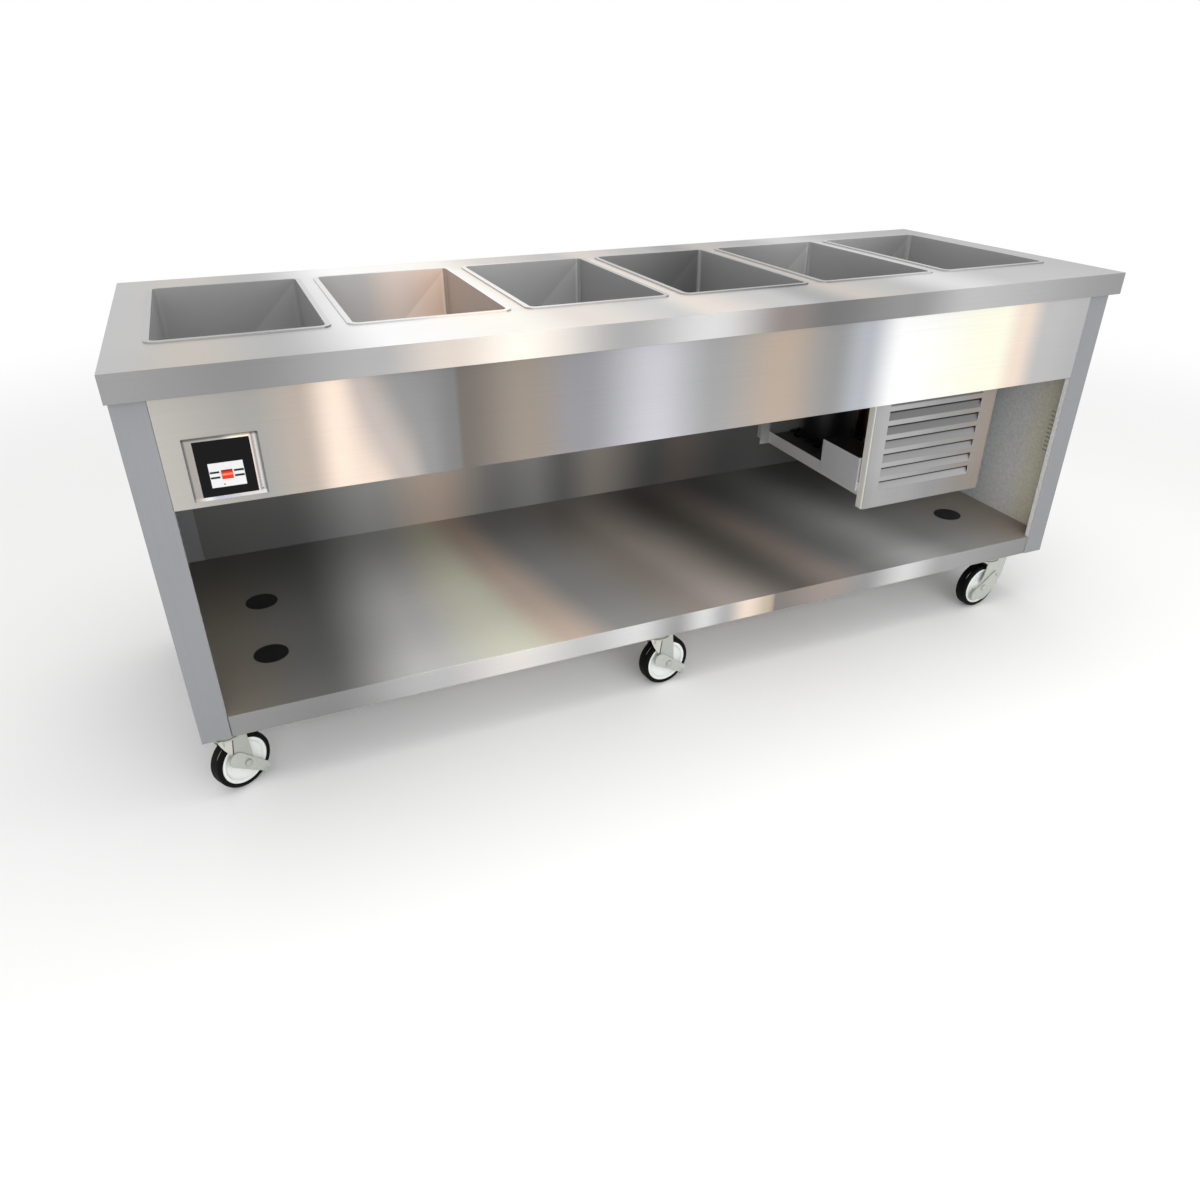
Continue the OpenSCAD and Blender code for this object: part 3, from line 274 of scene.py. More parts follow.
def top_painted_reflections(m):
    """Painted reflection bands along the flat and along the front edge; painted shade darkens the flat's rear
    strip, except at the left.
    """
    flat = m.ramp(m.x, [(-1.1, 180), (-0.98, (188, 180, 170)), (-0.84, 170), (-0.63, 248),
        (-0.4, (252, 247, 238)), (-0.25, (225, 216, 208)), (-0.08, 195), (0, (225, 215, 205)), (0.18, 185),
        (0.27, 150), (0.37, (190, 182, 172)), (0.5, 175), (0.64, 215), (0.82, 182), (1.12, 172)])
    # painted shade: the flat's rear strip is darker, right of the middle
    flat = m.gain(flat, m.all_of(m.near(m.y, 0.24, 0.3), m.near(m.x, -0.5, -0.2)), 1, 0.82)
    # painted reflection bands along the front edge
    edge = m.ramp(m.x, [(-1.12, 154), (-0.9, 138), (-0.68, 172), (-0.55, (216, 205, 196)),
        (-0.42, (252, 242, 232)), (-0.2, 168), (-0.01, 214), (0.17, (140, 132, 128)), (0.27, 116),
        (0.48, 145), (0.65, 188), (1.12, 150)])
    side = m.mix(m.front(), lin(166), edge)
    return m.mix(m.up(), side, flat)


def apron_painted_reflections(m):
    """Painted reflection bands; the sheet's first broad band widens downwards from its middle height."""
    middle = 0.765
    place = m.all_of(m.near(m.x, -0.56, -0.64), m.near(m.x, -0.76, -0.68))
    across = m.math("MULTIPLY_ADD", m.all_of(place, m.math("SUBTRACT", m.z, middle)), 0.4, m.x)
    # painted reflection bands across the apron
    return m.ramp(across, [(-1.08, (184, 180, 174)), (-0.9, (162, 160, 156)), (-0.82, (180, 168, 158)),
        (-0.76, (242, 222, 206)), (-0.69, (188, 178, 172)), (-0.61, 144), (-0.54, 124),
        (-0.53, (114, 108, 103)), (-0.4, (150, 140, 130)), (-0.28, (145, 145, 150)),
        (-0.12, (194, 194, 200)), (0.02, 160), (0.18, (182, 166, 152)), (0.32, 150), (0.4, (178, 182, 188)),
        (0.5, 250), (0.79, (254, 250, 230)), (0.855, (240, 222, 206)), (0.93, 190), (1.08, 180)])


def shelf_painted_light(m):
    """Painted reflection bands on the flat and the lip; right of the first band, those on the flat lean a
    little to the left towards the rear, and painted shade darkens the flat towards the rear.
    """
    lean = m.all_of(m.math("ADD", m.y, 0.25), m.near(m.x, -0.65, -0.3))
    across = m.math("MULTIPLY_ADD", lean, 0.2, m.x)
    flat = m.ramp(across, [(-1.05, (95, 90, 82)), (-0.85, 85), (-0.64, 165), (-0.45, (186, 184, 168)),
        (-0.33, (170, 154, 142)), (-0.2, 124), (0, (126, 119, 113)), (0.08, (138, 130, 125)),
        (0.28, (80, 76, 72)), (0.4, (112, 103, 98)), (0.5, 98), (0.67, 134), (0.82, 108),
        (1.05, (102, 95, 88))], lift=2)
    # painted shade: the flat darkens towards the rear, under the top
    flat = m.gain(flat, m.near(m.y, -0.1, 0.37), 1.15, 0.43)
    # painted reflection bands along the lip
    lip = m.ramp(m.x, [(-1.06, 142), (-0.86, 132), (-0.63, 186), (-0.44, (228, 223, 219)), (-0.27, 195),
        (-0.15, 220), (-0.045, 158), (0.03, 218), (0.09, 172), (0.15, (240, 222, 204)),
        (0.22, (190, 174, 154)), (0.23, (126, 120, 116)), (0.4, (158, 146, 138)), (0.5, 146), (0.64, 216),
        (0.76, 162), (1.06, 138)], lift=0.84)
    # the lip meets the posts in a dark joint
    lip = m.gain(lip, m.near(m.math("ABSOLUTE", m.x), 1.0555, 1.057), 1, 0.2)
    return m.mix(m.up(), lip, flat)


def back_painted_light(m):
    """Dark painted reflection and shade bands inside, and a plain outer face."""
    # painted reflection and shade bands on the inner face
    inside = m.ramp(m.x, [(-1.05, 84), (-0.85, 80), (-0.62, 124), (-0.45, (150, 138, 128)), (-0.25, 104),
        (-0.15, 114), (-0.05, 90), (0.06, (122, 116, 110)), (0.25, 72), (0.35, (88, 81, 76)), (0.5, 74),
        (0.65, 90), (1.05, 60)], lift=2.1)
    return m.mix(m.all_of(m.near(m.ny, 0.4, 0.6), 0.75), inside, lin(165))


def well_painted_light(m):
    """Painted shade by the walls' direction. Each rear wall has a painted slanting reflection, and a dark
    line of painted shade at its right corner; the rims carry painted reflection bands.
    """
    back = m.ramp(m.x, [(-1.04, 126), (-0.73, 122), (-0.7, 124), (-0.6, 132), (-0.5, (160, 150, 144)),
        (-0.4, (166, 148, 136)), (-0.34, 136), (-0.03, 132), (0.03, 118), (0.32, 86), (0.38, 110),
        (0.67, 139), (0.74, 140), (1.04, 115)], lift=2.5)
    # every well's place is brought back to the first well's, and measured from that one's right corner
    cell = m.math("WRAP", m.x, FIRST_CELL + WELL_PITCH, FIRST_CELL)
    gap = m.math("SUBTRACT", WELL_HIGH.x - WELL_RIM, cell)
    slant_top = 0.914
    down = m.math("SUBTRACT", slant_top, m.z)
    # painted reflection: a slanting lighter band on each rear wall
    back = m.gain(back, m.near(m.math("SUBTRACT", down, gap), -0.004, 0.004), 0.95, 1.12)
    # painted shade in the corner where each rear wall meets the right wall
    back = m.gain(back, m.near(gap, 0.0045, 0.002), 1, 0.35)
    right = m.ramp(m.x, [(-0.74, 124), (-0.38, (120, 110, 103)), (-0.02, 113), (0.33, 124), (1.04, 118)],
        lift=2.5)
    # painted shade by direction: rear and right walls take different tones
    walls = m.mix(m.near(m.nx, -0.4, -0.6), back, right)
    # painted reflection bands on the rims
    rim = m.ramp(m.x, [(-1.1, 175), (-0.85, 160), (-0.63, 225), (-0.4, 235), (-0.08, 185), (0.27, 150),
        (0.64, 190), (1.12, 165)])
    return m.mix(m.up(), walls, rim)


def side_colour_and_painted_light(m):
    """The front faces are plain; the inner faces are mottled, olive near the front and slotted there. Along
    them, painted light and shade runs from pale near the front to darker towards the rear.
    """
    # painted light and shade along the inner faces, darker towards the rear
    inner = m.ramp(m.y, [(-0.379, 100), (-0.3765, 100), (-0.3755, (212, 210, 200)),
        (-0.345, (205, 203, 192)), (-0.335, (198, 192, 174)), (-0.29, (198, 195, 178)),
        (-0.2, (222, 222, 214)), (-0.05, (170, 176, 178)), (0.37, 150)], lift=1.7)
    inner = m.gain(inner, m.noise((0.008, 0.008, 0.008), 3, 0.6), 0.7, 1.2)
    slot_pitch = 0.012
    rows = m.near(m.math("PINGPONG", m.z, slot_pitch / 2), 0.0025, 0.0012)
    column = m.all_of(m.band(m.y, -0.3155, -0.3005, 0.0015), m.band(m.z, 0.4225, 0.5425, 0.0025))
    inner = m.gain(inner, m.all_of(column, rows), 1, 0.55)
    walls = m.mix(m.front(), inner, lin(138, 139, 142))
    outside = m.near(m.math("ABSOLUTE", m.x), POST_FACE - 0.0007, POST_FACE - 0.0002)
    return m.mix(outside, walls, lin(148))


def panel_painted_light(m):
    """A pale plate whose tones are painted light, darker towards the bottom, with its left flange painted
    bright as a highlight; the pressed-in blades are darker, most at their upper edges, as painted shade.
    """
    plate = m.ramp(m.x, [(0.49, 176), (0.53, 186), (0.6, 180), (0.72, 162), (0.8, (160, 152, 145)),
        (0.866, (160, 148, 138))], lift=0.75)
    plate = m.gain(plate, m.near(m.z, 0.5, 0.4), 1, 0.9)
    # painted shade: the blades darken towards the upper rows
    blade = m.ramp(m.z, [(0.41, 158), (0.52, 138), (0.58, 112), (0.66, 100)])
    first_row, row_pitch = 0.4175, 0.0362
    row = m.math("WRAP", m.math("SUBTRACT", m.z, first_row), row_pitch, 0)
    # painted shadow line under each window's upper edge
    blade = m.gain(blade, m.near(row, 0.016, 0.0178), 1, 0.08)
    pressed = m.all_of(m.near(m.y, PANEL_FRONT + 0.0003, PANEL_FRONT + 0.0009), m.near(m.nx, -0.35, -0.15))
    face = m.mix(pressed, plate, blade)
    # painted highlight: the faces turned to the left are lit bright
    return m.mix(m.near(m.nx, -0.7, -0.9), face, lin(246, 246, 236))


def bezel_painted_reflections(m):
    """Polished, with painted reflections: taupe on the left, a bright painted highlight along the top, cream
    on the right, with a dark outer edge.
    """
    x0, x1, z0, z1 = BEZEL_LOW.x, BEZEL_HIGH.x, BEZEL_LOW.z, BEZEL_HIGH.z
    sides = m.ramp(m.x, [(x0, 96), (x0 + 0.0025, 108), (x0 + 0.005, (160, 154, 149)), (x0 + 0.06, 165),
        (x0 + 0.085, (245, 238, 222)), (x1 - 0.016, (245, 228, 212)), (x1 - 0.011, 150),
        (x1 - 0.007, (204, 200, 198)), (x1 - 0.002, 112)])
    low = m.ramp(m.x, [(x0, 100), (x0 + 0.004, (170, 164, 160)), (x0 + 0.025, 222),
        (x0 + 0.04, (182, 183, 196)), (x1 - 0.005, (214, 210, 206)), (x1 - 0.001, 112)])
    colour = m.mix(m.near(m.z, z0 + 0.008, z0 + 0.005), sides, low)
    screw = m.patch(x1 - 0.0095, x1 - 0.0065, z0 + 0.0085, z0 + 0.0115)
    # the dark screw head, and the painted dark reflection along the outer top edge
    return m.gain(colour, m.math("MAXIMUM", screw, m.near(m.z, z1 - 0.0045, z1 - 0.0015)), 1, 0.4)


def label_colour(m):
    """White, with two dark bars on each side of the rocker and a small olive dot."""
    x0, x1, z0, z1 = LABEL_LOW.x, LABEL_HIGH.x, LABEL_LOW.z, LABEL_HIGH.z
    margin = 0.0008
    bars = 0
    for z in ((z0 + z1) / 2 + 0.0055, (z0 + z1) / 2 - 0.0042):
        left = m.patch(x0 + margin, x0 + 0.0165, z - 0.0018, z + 0.0018)
        right = m.patch(x1 - 0.0172, x1 - margin, z - 0.0019, z + 0.0019)
        bars = m.math("MAXIMUM", bars, m.math("MAXIMUM", left, right))
    colour = m.mix(bars, lin(215), lin(20, 23, 28))
    dot, radius = x0 + 0.0215, 0.0014
    return m.mix(m.patch(dot - radius, dot + radius, z0 + 0.0033, z0 + 0.006), colour, lin(130, 125, 30))


def rocker_colour(m):
    """Orange red with a pale band across its middle."""
    z = (LABEL_LOW.z + LABEL_HIGH.z) / 2
    pale = m.band(m.z, z - 0.0012, z + 0.0026, 0.0006)
    return m.mix(pale, lin(214, 46, 14), lin(238, 128, 104))


def frame_painted_shade(m):
    """Pale, with painted shade by direction: darker on the faces to the front and darkest on those that face
    up.
    """
    return m.mix(m.up(), m.mix(m.front(), lin(206), lin(152)), lin(90))


def box_colour(m):
    """Pale sides and a dark top."""
    return m.mix(m.up(), lin(200, 200, 204), lin(36))


steel_top = brushed("steel_top", top_painted_reflections)
steel_apron = brushed("steel_apron", apron_painted_reflections)
steel_shelf = brushed("steel_shelf", shelf_painted_light, metal=0.1)
steel_well = brushed("steel_well", well_painted_light, "z", metal=0.6, streak=0.03)
steel_well_bright = brushed("steel_well_bright", well_painted_light, "z", metal=0.3, streak=0.03)
steel_side = brushed("steel_side", side_colour_and_painted_light, "z", metal=0.2)
steel_back = brushed("steel_back", back_painted_light, "z", metal=0.4)
steel_panel = brushed("steel_panel", panel_painted_light, "z", 0.4, metal=0.3)
steel_plain = brushed("steel_plain", (168,), "z", 0.4, metal=0.6)
zinc = plain("zinc", (170, 172, 165), 0.42, 0.9, (0.03, 0.03, 0.03), 0.12)
zinc_green = plain("zinc_green", (178, 182, 174), 0.45, 0.4, (0.02, 0.02, 0.03), 0.07)
# the fork's zinc painted paler and warmer, as painted light on the leg's facet
zinc_painted_lit = plain("zinc_painted_lit", (205, 202, 194), 0.45, 0.4, (0.02, 0.02, 0.03), 0.05)
zinc_mottled = plain("zinc_mottled", (188, 190, 184), 0.45, 0.4, (0.006, 0.006, 0.006), 0.16)
# pale grey for the painted glint on the tread, a highlight set as colour
painted_glint_grey = plain("painted_glint_grey", (150, 147, 134), 0.6)
chrome = plain("chrome", (215, 215, 218), 0.12, 1.0, (0.02, 0.02, 0.02), 0.03, 0.00002)
bezel_steel = plain("bezel_steel", bezel_painted_reflections, 0.25, 0.6, (0.02, 0.02, 0.02), 0.04, 0.00001, gloss=0.2)
black_face = plain("black_face", (10, 10, 12), 0.35, gloss=0.12)
label_white = plain("label_white", label_colour, 0.5, gloss=0.2)
rocker_red = plain("rocker_red", rocker_colour, 0.32, gloss=0.2)
lever_red = plain("lever_red", (200, 40, 28), 0.4, gloss=0.3)
relay_case = plain("relay_case", box_colour, 0.4, 0.2, (0.02, 0.02, 0.02), 0.04)
frame_pale = plain("frame_pale", frame_painted_shade, 0.4, 0.2, (0.02, 0.02, 0.02), 0.04)
rubber = plain("rubber", (5, 5, 5), 0.6, 0, (0.002, 0.002, 0.002), 0.2, gloss=0.12)
hub_white = plain("hub_white", (226, 229, 227), 0.4, gloss=0.3)
painted_black = plain("painted_black", (22, 23, 25), 0.45)
machine_dark = plain("machine_dark", (60, 60, 62), 0.5, 0.4)
copper = plain("copper", (176, 112, 80), 0.35, 1.0)
foam = plain("foam", (226, 214, 178), 0.9, 0, (0.004, 0.004, 0.004), 0.1, 0.0005)
aluminium = plain("aluminium", (168, 170, 172), 0.4, 1.0)
black_plastic = plain("black_plastic", (20, 20, 21), 0.5)

FINISH = {
    "countertop": steel_top, "front_apron": steel_apron, "bottom_shelf": steel_shelf,
    "end_panel": steel_side, "back_panel": steel_back, "cold_well": steel_well,
    "cold_well_2": steel_well_bright, "top_rails": zinc,
    "base_channels": zinc, "well_case": zinc, "well_insulation": foam, "evaporator_lines": copper,
    "drain_manifold": copper, "drain_valve_body": chrome, "drain_lever": lever_red,
    "shelf_hole_plugs": black_plastic, "control_bezel": bezel_steel, "control_box": zinc,
    "control_face": black_face, "control_label": label_white, "power_rocker": rocker_red,
    "slide_rails": steel_plain, "unit_tray": frame_pale, "unit_hanger_frame": frame_pale,
    "louvre_panel": steel_panel, "condenser_coil": aluminium, "fan_shroud": painted_black,
    "fan_motor": machine_dark, "fan_blade": aluminium, "compressor_feet": rubber,
    "compressor": painted_black, "relay_box": relay_case, "receiver_and_lines": copper,
    "caster_plates": zinc, "fork": zinc, "hub": hub_white, "tyre": rubber, "brake_pedal": zinc,
}


def finish_of(name):
    """The finish of the longest key that the node's name starts with."""
    keys = [k for k in FINISH if name.startswith(k)]
    return FINISH[max(keys, key=len)]


# Folded sheets, pressed frames and mouldings whose edges are rounded: node and radius in metres
SOFT_EDGES = {
    "countertop": 0.0009, "front_apron": 0.0006, "bottom_shelf": 0.0009, "back_panel": 0.0006,
    "end_panel_left": 0.0006, "end_panel_right": 0.0006, "control_bezel": 0.0008, "relay_box": 0.0006,
    "shelf_hole_plugs": 0.0006, "power_rocker": 0.0004,
}
SOFT_ANGLE = radians(50)
WELD_GAP = 0.00002

for name, obj in nodes.items():
    obj.data.materials.clear()
    obj.data.materials.append(finish_of(name))
    weld = obj.modifiers.new("weld", "WELD")
    weld.merge_threshold = WELD_GAP
    if name in SOFT_EDGES:
        bevel = obj.modifiers.new("bevel", "BEVEL")
        bevel.limit_method = "ANGLE"
        bevel.angle_limit = SOFT_ANGLE
        bevel.width = SOFT_EDGES[name]
        bevel.segments = 3
        bevel.use_clamp_overlap = True
        bevel.harden_normals = True

# Mesh helpers
SIDEWAYS = Matrix.Rotation(radians(90), 4, "X")
EDGE_ANGLE = radians(35)
ROUND = 72
WHEEL_ROUND = 96


def lathe(bm, profile, place, closed=False, steps=ROUND):
    """Turns a profile of (radius, height) about the local Z axis of the matrix place."""
    rings = []
    for r, h in profile:
        count = 1 if r == 0 else steps
        turns = [tau * k / steps for k in range(count)]
        rings.append([bm.verts.new(place @ Vector((r * cos(t), r * sin(t), h))) for t in turns])
    if closed:
        rings.append(rings[0])
    for a, b in zip(rings, rings[1:]):
        for k in range(steps):
            j = (k + 1) % steps
            # a ring on the axis is one point, which the face takes once
            loop = [a[k % len(a)], a[j % len(a)], b[j % len(b)], b[k % len(b)]]
            bm.faces.new([v for i, v in enumerate(loop) if v not in loop[:i]])


def walls(bm, a, b):
    """Faces between two closed loops with the same number of points."""
    for k in range(len(a)):
        j = (k + 1) % len(a)
        bm.faces.new((a[k], a[j], b[j], b[k]))


def loft(bm, loops):
    """A solid through a row of closed loops, with a face on each end."""
    bm.faces.new(loops[0][::-1])
    bm.faces.new(loops[-1])
    for a, b in zip(loops, loops[1:]):
        walls(bm, a, b)


def prism(bm, outline, low, high, place):
    """Extrudes a flat outline of (x, y) from low to high along the local Z of the matrix place."""
    loft(bm, [[bm.verts.new(place @ Vector((x, y, h))) for x, y in outline] for h in (low, high)])


def arc(x, y, r, start, end, steps=12):
    """Points on a circle round (x, y), from one angle in degrees to another."""
    turns = [radians(start + (end - start) * k / steps) for k in range(steps + 1)]
    return [(x + r * cos(t), y + r * sin(t)) for t in turns]


def rounded(corners, r, steps=5):
    """The outline with each corner cut by a curve that starts r from it, or nearer on a short side."""
    longest = 0.45
    out = []
    for i, c in enumerate(corners):
        p, a, b = Vector(c), Vector(corners[i - 1]), Vector(corners[(i + 1) % len(corners)])
        u, v = a - p, b - p
        start = p + u.normalized() * min(r, u.length * longest)
        end = p + v.normalized() * min(r, v.length * longest)
        for k in range(steps + 1):
            t = k / steps
            q = start * (1 - t) ** 2 + p * 2 * t * (1 - t) + end * t * t
            out.append((q.x, q.y))
    return out


def rectangle(x0, y0, x1, y1):
    return [(x0, y0), (x1, y0), (x1, y1), (x0, y1)]


def strip(bm, path, widths, thick, place):
    """A flat bar of varying width along a path of (x, z), its width along the local Y."""
    pts = [Vector(q) for q in path]
    rows = []
    for i, q in enumerate(pts):
        along = (pts[min(i + 1, len(pts) - 1)] - pts[max(i - 1, 0)]).normalized()
        off = Vector((-along.y, along.x)) * thick / 2
        w = widths[i] / 2
        corners = [(q + off, w), (q + off, -w), (q - off, -w), (q - off, w)]
        rows.append([bm.verts.new(place @ Vector((c.x, y, c.y))) for c, y in corners])
    loft(bm, rows)


def piece(name, bm, mat, body, stands_for=(), bevel=0.0):
    """Makes the object, smooth apart from its sharp edges, and lets it ride."""
    bmesh.ops.recalc_face_normals(bm, faces=bm.faces)
    mesh = bpy.data.meshes.new(name)
    bm.to_mesh(mesh)
    bm.free()
    mesh.shade_smooth()
    mesh.set_sharp_from_angle(angle=EDGE_ANGLE)
    mesh.materials.append(mat)
    obj = bpy.data.objects.new(name, mesh)
    bpy.context.scene.collection.objects.link(obj)
    if bevel:
        edge = obj.modifiers.new("edges", "BEVEL")
        edge.width = bevel
        edge.segments = 2
        edge.limit_method = "ANGLE"
        edge.angle_limit = EDGE_ANGLE
        edge.harden_normals = True
    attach(obj, body)
    if stands_for:
        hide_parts(*stands_for)


# Casters: the wheel's radius, swivel axis to axle, the legs' inner faces, their thickness and their outer
# faces, and the pedal's inner face
WHEEL_R = 0.0635
LEAD = 0.02
LEG_Y = 0.02
FORK_T = 0.003
OUTER = LEG_Y + FORK_T
PEDAL_Y = -0.0234
# Swivel axis, heading, side on which the wheel trails, rest angle of the pedal
CASTERS = {
    "front_left": (-1.072, -0.338, 32, 1, 43), "front_middle": (-0.078, -0.338, 8, 1, 35),
    "front_right": (0.959, -0.338, 5, -1, -40), "rear_left": (-1.072, 0.338, 200, -1, None),
    "rear_middle": (-0.078, 0.338, 8, -1, None), "rear_right": (0.959, 0.338, 14, -1, None),
}
BRAKES = {"front_left": "left", "front_middle": "middle", "front_right": "right"}


def mirrored(half):
    """A closed profile from its lower half, from the inside out."""
    return half + [(r, -h) for r, h in reversed(half)]


TYRE = mirrored([(0.053, -0.0150), (0.0538, -0.0159), (0.0580, -0.0160), (0.0600, -0.0155), (0.0618, -0.0142),
    (0.0630, -0.0122), (0.0634, -0.0095), (0.0635, -0.0040)])
HUB = mirrored([(0.0052, -0.0194), (0.0132, -0.0194), (0.0146, -0.0186), (0.0152, -0.0170), (0.0158, -0.0110),
    (0.0176, -0.0090), (0.0220, -0.0085), (0.0385, -0.0085), (0.0425, -0.0092), (0.0448, -0.0112),
    (0.0456, -0.0135), (0.0466, -0.0144), (0.0520, -0.0145), (0.0530, -0.0138)])


# Outlines as (x from the axle, height above the floor), with the swivel axis at x = -LEAD. The outer leg
# ends at the fold, where its facet begins; the inner leg has both parts in one.
LEG_TOP = 0.1440
SWEEP = -0.0505
FOOT_R = 0.016
FOLD = [(-0.0190, LEG_TOP), (-0.0262, 0.0970)]
FOOT = [(-0.0200, 0.0780)] + arc(0, WHEEL_R, FOOT_R, 170, 360) + [(0.0150, 0.0950), (0.0112, LEG_TOP)]
LEG = FOLD + FOOT
INNER_LEG = FOLD[:1] + [(SWEEP, LEG_TOP), (-0.0300, 0.1030)] + FOOT
FACET = [(SWEEP, LEG_TOP), (-0.0452, 0.1290), (-0.0400, 0.1175), (-0.0335, 0.1060), (-0.0276, 0.0968)]
FACET += FOLD[::-1]
BROAD_LEG = [(-0.0060, LEG_TOP), (0.0010, 0.1000), (0.0130, 0.0760), (0.0260, 0.0580), (0.0250, 0.0440),
    (0.0110, 0.0270), (-0.0130, 0.0205), (-0.0330, 0.0320), (-0.0510, 0.0530), (-0.0680, 0.0860),
    (-0.0780, LEG_TOP)]
CROWN = [(0.0062, 0.1395), (0.029, 0.1395), (0.0306, 0.1405), (0.031, 0.1418), (0.0302, 0.1434),
    (0.0262, 0.1444), (0.0062, 0.1444)]
# The web between the legs, on the side away from the wheel
WEB_X = 0.018
WEB_LOW, WEB_HIGH = 0.1296, 0.1430
AXLE_R = 0.005
HEAD_R = 0.0085
HEAD_T = 0.0052
NUT_R = 0.0082
NUT_T = 0.0054
# The pedal turns on a sleeve between the leg and the bolt's head
SLEEVE_R = 0.0079
SLEEVE_T = 0.0042


def leg_place(spot, side):
    """The frame of the outlines: x away from the swivel axis, y up, z towards the outer leg."""
    return spot @ Matrix.Translation((side * LEAD, 0, 0)) @ Matrix.Diagonal((side, 1, 1, 1)) @ SIDEWAYS


def axle_place(spot, side):
    """The axle's frame, with the axle on the local Z."""
    return spot @ Matrix.Translation((side * LEAD, 0, WHEEL_R)) @ SIDEWAYS


def fork_mesh(spot, side, braked, broad):
    """Two legs, the crown that joins them, and the axle's bolt and nut."""
    bm = bmesh.new()
    legs = leg_place(spot, side)
    prism(bm, rounded(BROAD_LEG, 0.006) if broad else LEG, LEG_Y, OUTER, legs)
    prism(bm, INNER_LEG, -OUTER, -LEG_Y, legs)
    lathe(bm, CROWN, spot, closed=True)
    web = rounded(rectangle(WEB_X, -OUTER, WEB_X + FORK_T, OUTER), 0.0014, 3)
    prism(bm, web, WEB_LOW, WEB_HIGH, spot @ Matrix.Diagonal((-side, 1, 1, 1)))
    axle = axle_place(spot, side)
    out = OUTER + (SLEEVE_T if braked else 0)
    bolt = [(0, out + HEAD_T), (0.0058, out + HEAD_T), (0.0078, out + 0.0040), (HEAD_R, out + 0.0020),
        (HEAD_R, out)]
    bolt += [(SLEEVE_R, out), (SLEEVE_R, OUTER)] if braked else [(AXLE_R, out)]
    bolt += [(AXLE_R, OUTER - 0.0005), (AXLE_R, -OUTER), (0, -OUTER)]
    lathe(bm, bolt, axle)
    nut = arc(0, 0, NUT_R, 0, 300, steps=5)
    prism(bm, nut, -OUTER - NUT_T, -OUTER, axle)
    return bm


def facet_mesh(spot, side):
    """The swept-back part of the outer leg, which leans in a little from the fold."""
    lean, flat_part, thick = 0.12, 0.0010, 0.0026
    bm = bmesh.new()
    place = leg_place(spot, side)
    front, back = [], []
    for x, z in FACET:
        out = OUTER - lean * max(FOLD[0][0] - x - flat_part, 0)
        front.append(bm.verts.new(place @ Vector((x, z, out))))
        back.append(bm.verts.new(place @ Vector((x, z, out - thick))))
    loft(bm, [back, front])
    return bm


def fold_shade_mesh(spot, side):
    """A thin dark inlay along the fold between the leg's two parts, as painted shade in the crease."""
    bm = bmesh.new()
    (x0, z0), (x1, z1) = FOLD
    outline = [(x0 - 0.0012, z0), (x0 + 0.0010, z0), (x1 + 0.0014, z1), (x1 - 0.0008, z1)]
    prism(bm, outline, OUTER - 0.0010, OUTER + 0.0003, leg_place(spot, side))
    return bm


PEDAL_T = 0.0034
PEDAL_HOLE = 0.0083
# The pedal's plate, wide behind the axle and narrow in front of it
PLATE = arc(-0.030, 0, 0.017, 90, 270) + arc(0.049, 0, 0.011, -82, 82)
# The step at its end: places along the bend, the widths there and the thickness
STEP = [(0.0535, -0.0012), (0.0535, -0.0040), (0.0538, -0.0090), (0.0545, -0.0130), (0.0552, -0.0148)]
STEP_WIDTHS = [0.0140, 0.0140, 0.0140, 0.0130, 0.0100]
STEP_T = 0.0028


def pedal_mesh(spot, side, drop):
    """A plate with a hole round the axle, and a step bent out at its end."""
    bm = bmesh.new()
    turn = Matrix.Rotation(radians(drop), 4, "Y")
    place = spot @ Matrix.Translation((side * LEAD, PEDAL_Y, WHEEL_R)) @ turn
    hole = [tuple(Vector(p).normalized() * PEDAL_HOLE) for p in PLATE]
    loops = []
    for outline, z in ((PLATE, 0), (PLATE, PEDAL_T), (hole, PEDAL_T), (hole, 0)):
        loops.append([bm.verts.new(place @ SIDEWAYS @ Vector((x, y, z))) for x, y in outline])
    for a, b in zip(loops, loops[1:] + loops[:1]):
        walls(bm, a, b)
    strip(bm, STEP, STEP_WIDTHS, STEP_T, place)
    return bm


# The painted glint on the tread: its start and turn in degrees, rows, place across, half width, radius and
# root radius
GLINT_STARTS = 128
GLINT_TURN = 22
GLINT_ROWS = 9
GLINT_ACROSS = 0.0062
GLINT_HALF = 0.0008
GLINT_R = 0.06362
GLINT_ROOT = 0.0630


def painted_glint_mesh(wheel):
    """A painted glint: a pale line on the tread that stands in for a highlight, widest at its middle, with
    its root inside the tyre.
    """
    bm = bmesh.new()
    rows = []
    for k in range(GLINT_ROWS):
        t = radians(GLINT_STARTS + GLINT_TURN * k / (GLINT_ROWS - 1))
        w = GLINT_HALF * sin(pi * (k + 0.5) / GLINT_ROWS)
        corners = [(GLINT_R, GLINT_ACROSS - w), (GLINT_R, GLINT_ACROSS + w), (GLINT_ROOT, GLINT_ACROSS)]
        rows.append([bm.verts.new(wheel @ Vector((r * cos(t), r * sin(t), h))) for r, h in corners])
    loft(bm, rows)
    return bm


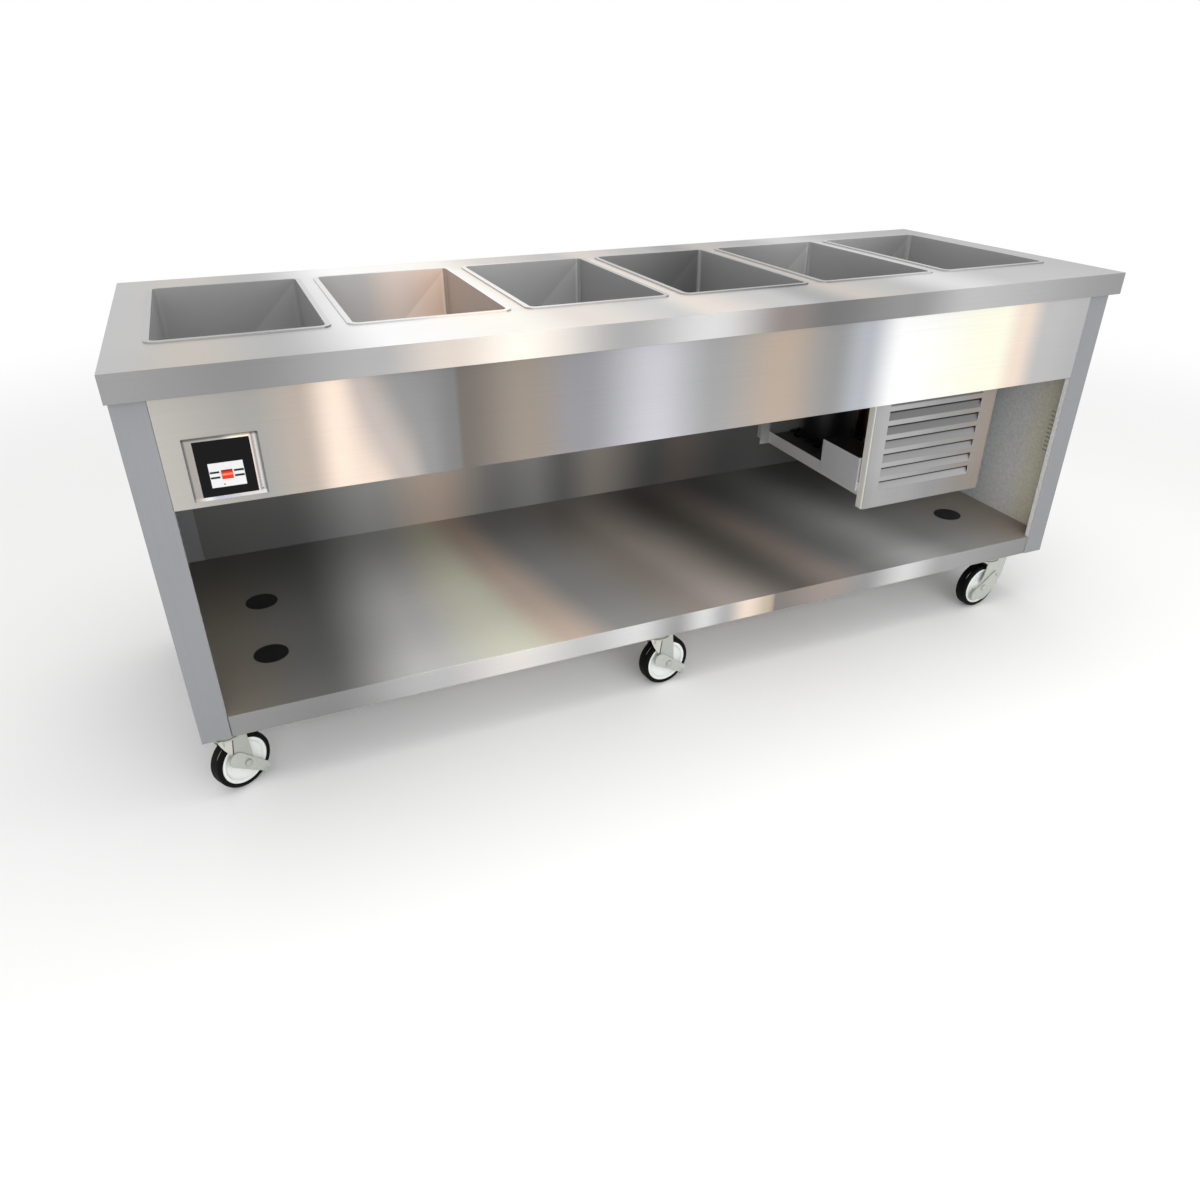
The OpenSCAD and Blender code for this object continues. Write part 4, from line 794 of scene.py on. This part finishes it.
for name, (x, y, heading, side, drop) in CASTERS.items():
    spot = Matrix.Translation((x, y, 0)) @ Matrix.Rotation(radians(heading), 4, "Z")
    wheel = axle_place(spot, side)
    bm = bmesh.new()
    lathe(bm, TYRE, wheel, closed=True, steps=WHEEL_ROUND)
    piece("wheel_tyre_" + name, bm, rubber, "wheel_" + name, ["tyre_" + name])
    bm = bmesh.new()
    lathe(bm, HUB, wheel, closed=True, steps=WHEEL_ROUND)
    piece("wheel_hub_" + name, bm, hub_white, "wheel_" + name, ["hub_" + name])
    braked = name in BRAKES
    swivel = "swivel_" + name
    yoke = fork_mesh(spot, side, braked, braked and side < 0)
    finish = zinc_mottled if name == "front_right" else zinc_green
    piece("yoke_" + name, yoke, finish, swivel, ["fork_" + name], 0.0005)
    if not braked:
        continue
    # a painted glint on the tread, standing in for a highlight
    piece("tread_painted_glint_" + name, painted_glint_mesh(wheel), painted_glint_grey, "wheel_" + name)
    if side > 0:
        # the facet takes the paler copy of the zinc, painted as lit
        piece("yoke_facet_" + name, facet_mesh(spot, side), zinc_painted_lit, swivel, bevel=0.0003)
        # a dark inlay as painted shade in the fold
        piece("yoke_fold_shade_" + name, fold_shade_mesh(spot, side), machine_dark, swivel, bevel=0.0001)
    body = "brake_pedal_" + BRAKES[name]
    piece("foot_pedal_" + name, pedal_mesh(spot, side, drop), zinc_mottled, body, [body], 0.0005)


# Floor, world and lamps

WHITE = (1, 1, 1, 1)
FLOOR_REACH = 12
# The floor fades to white between these distances from the object's middle
FADE_START, FADE_END = 1.6, 4.5
WORLD_LIGHT = 0.7


def make_floor():
    """A pale floor that takes the shadows and fades to white; its colour carries painted shade, darker
    towards the front.
    """
    m = Mat("floor", 0.9, 0.0)
    # painted shade: the floor is darker towards the front
    m.set("Base Color", m.mix(m.near(m.y, -0.9, -1.3), lin(250), lin(240)))
    m.set("Specular IOR Level", 0.1)
    far = m.node("ShaderNodeVectorMath")
    far.operation = "LENGTH"
    m.link(m.place, far.inputs[0])
    white = m.node("ShaderNodeEmission")
    white.inputs["Color"].default_value = WHITE
    fade = m.node("ShaderNodeMixShader")
    m.link(m.near(far.outputs["Value"], FADE_START, FADE_END), fade.inputs[0])
    m.link(m.bsdf.outputs[0], fade.inputs[1])
    m.link(white.outputs[0], fade.inputs[2])
    m.link(fade.outputs[0], m.out.inputs[0])
    mesh = bpy.data.meshes.new("floor")
    corners = rectangle(-FLOOR_REACH, -FLOOR_REACH, FLOOR_REACH, FLOOR_REACH)
    mesh.from_pydata([(x, y, 0) for x, y in corners], [], [(0, 1, 2, 3)])
    mesh.materials.append(m.mat)
    floor = bpy.data.objects.new("floor", mesh)
    bpy.context.scene.collection.objects.link(floor)


def make_world():
    """White where the camera, a reflection or a clear piece looks at it; dimmer as a light."""
    world = bpy.data.worlds.new("studio")
    bpy.context.scene.world = world
    world.use_nodes = True
    tree = world.node_tree
    tree.nodes.clear()

    def background(strength):
        node = tree.nodes.new("ShaderNodeBackground")
        node.inputs["Color"].default_value = WHITE
        node.inputs["Strength"].default_value = strength
        return node.outputs[0]

    path = tree.nodes.new("ShaderNodeLightPath")
    seen = path.outputs["Is Camera Ray"]
    for kind in ("Is Glossy Ray", "Is Transmission Ray"):
        either = tree.nodes.new("ShaderNodeMath")
        either.operation = "MAXIMUM"
        tree.links.new(seen, either.inputs[0])
        tree.links.new(path.outputs[kind], either.inputs[1])
        seen = either.outputs[0]
    mix = tree.nodes.new("ShaderNodeMixShader")
    tree.links.new(seen, mix.inputs[0])
    tree.links.new(background(WORLD_LIGHT), mix.inputs[1])
    tree.links.new(background(1.0), mix.inputs[2])
    out = tree.nodes.new("ShaderNodeOutputWorld")
    tree.links.new(mix.outputs[0], out.inputs[0])


def lamp(name, place, aim, size, watts, colour=(1, 1, 1)):
    """A soft rectangular lamp that neither the camera nor a reflection shows."""
    data = bpy.data.lights.new(name, "AREA")
    data.shape = "RECTANGLE"
    data.size, data.size_y = size
    data.energy = watts
    data.color = colour
    obj = bpy.data.objects.new(name, data)
    obj.location = place
    obj.rotation_euler = (Vector(aim) - Vector(place)).to_track_quat("-Z", "Y").to_euler()
    obj.visible_camera = False
    obj.visible_glossy = False
    bpy.context.scene.collection.objects.link(obj)


make_floor()
make_world()
lamp("key", (0.3, 0.2, 3.4), (0, 0, 0.2), (3.4, 2.6), 45, (1.0, 0.99, 0.97))
lamp("front", (-0.2, -3.0, 1.5), (0, 0, 0.35), (3.6, 1.4), 50)

bpy.context.scene.view_settings.view_transform = "Standard"
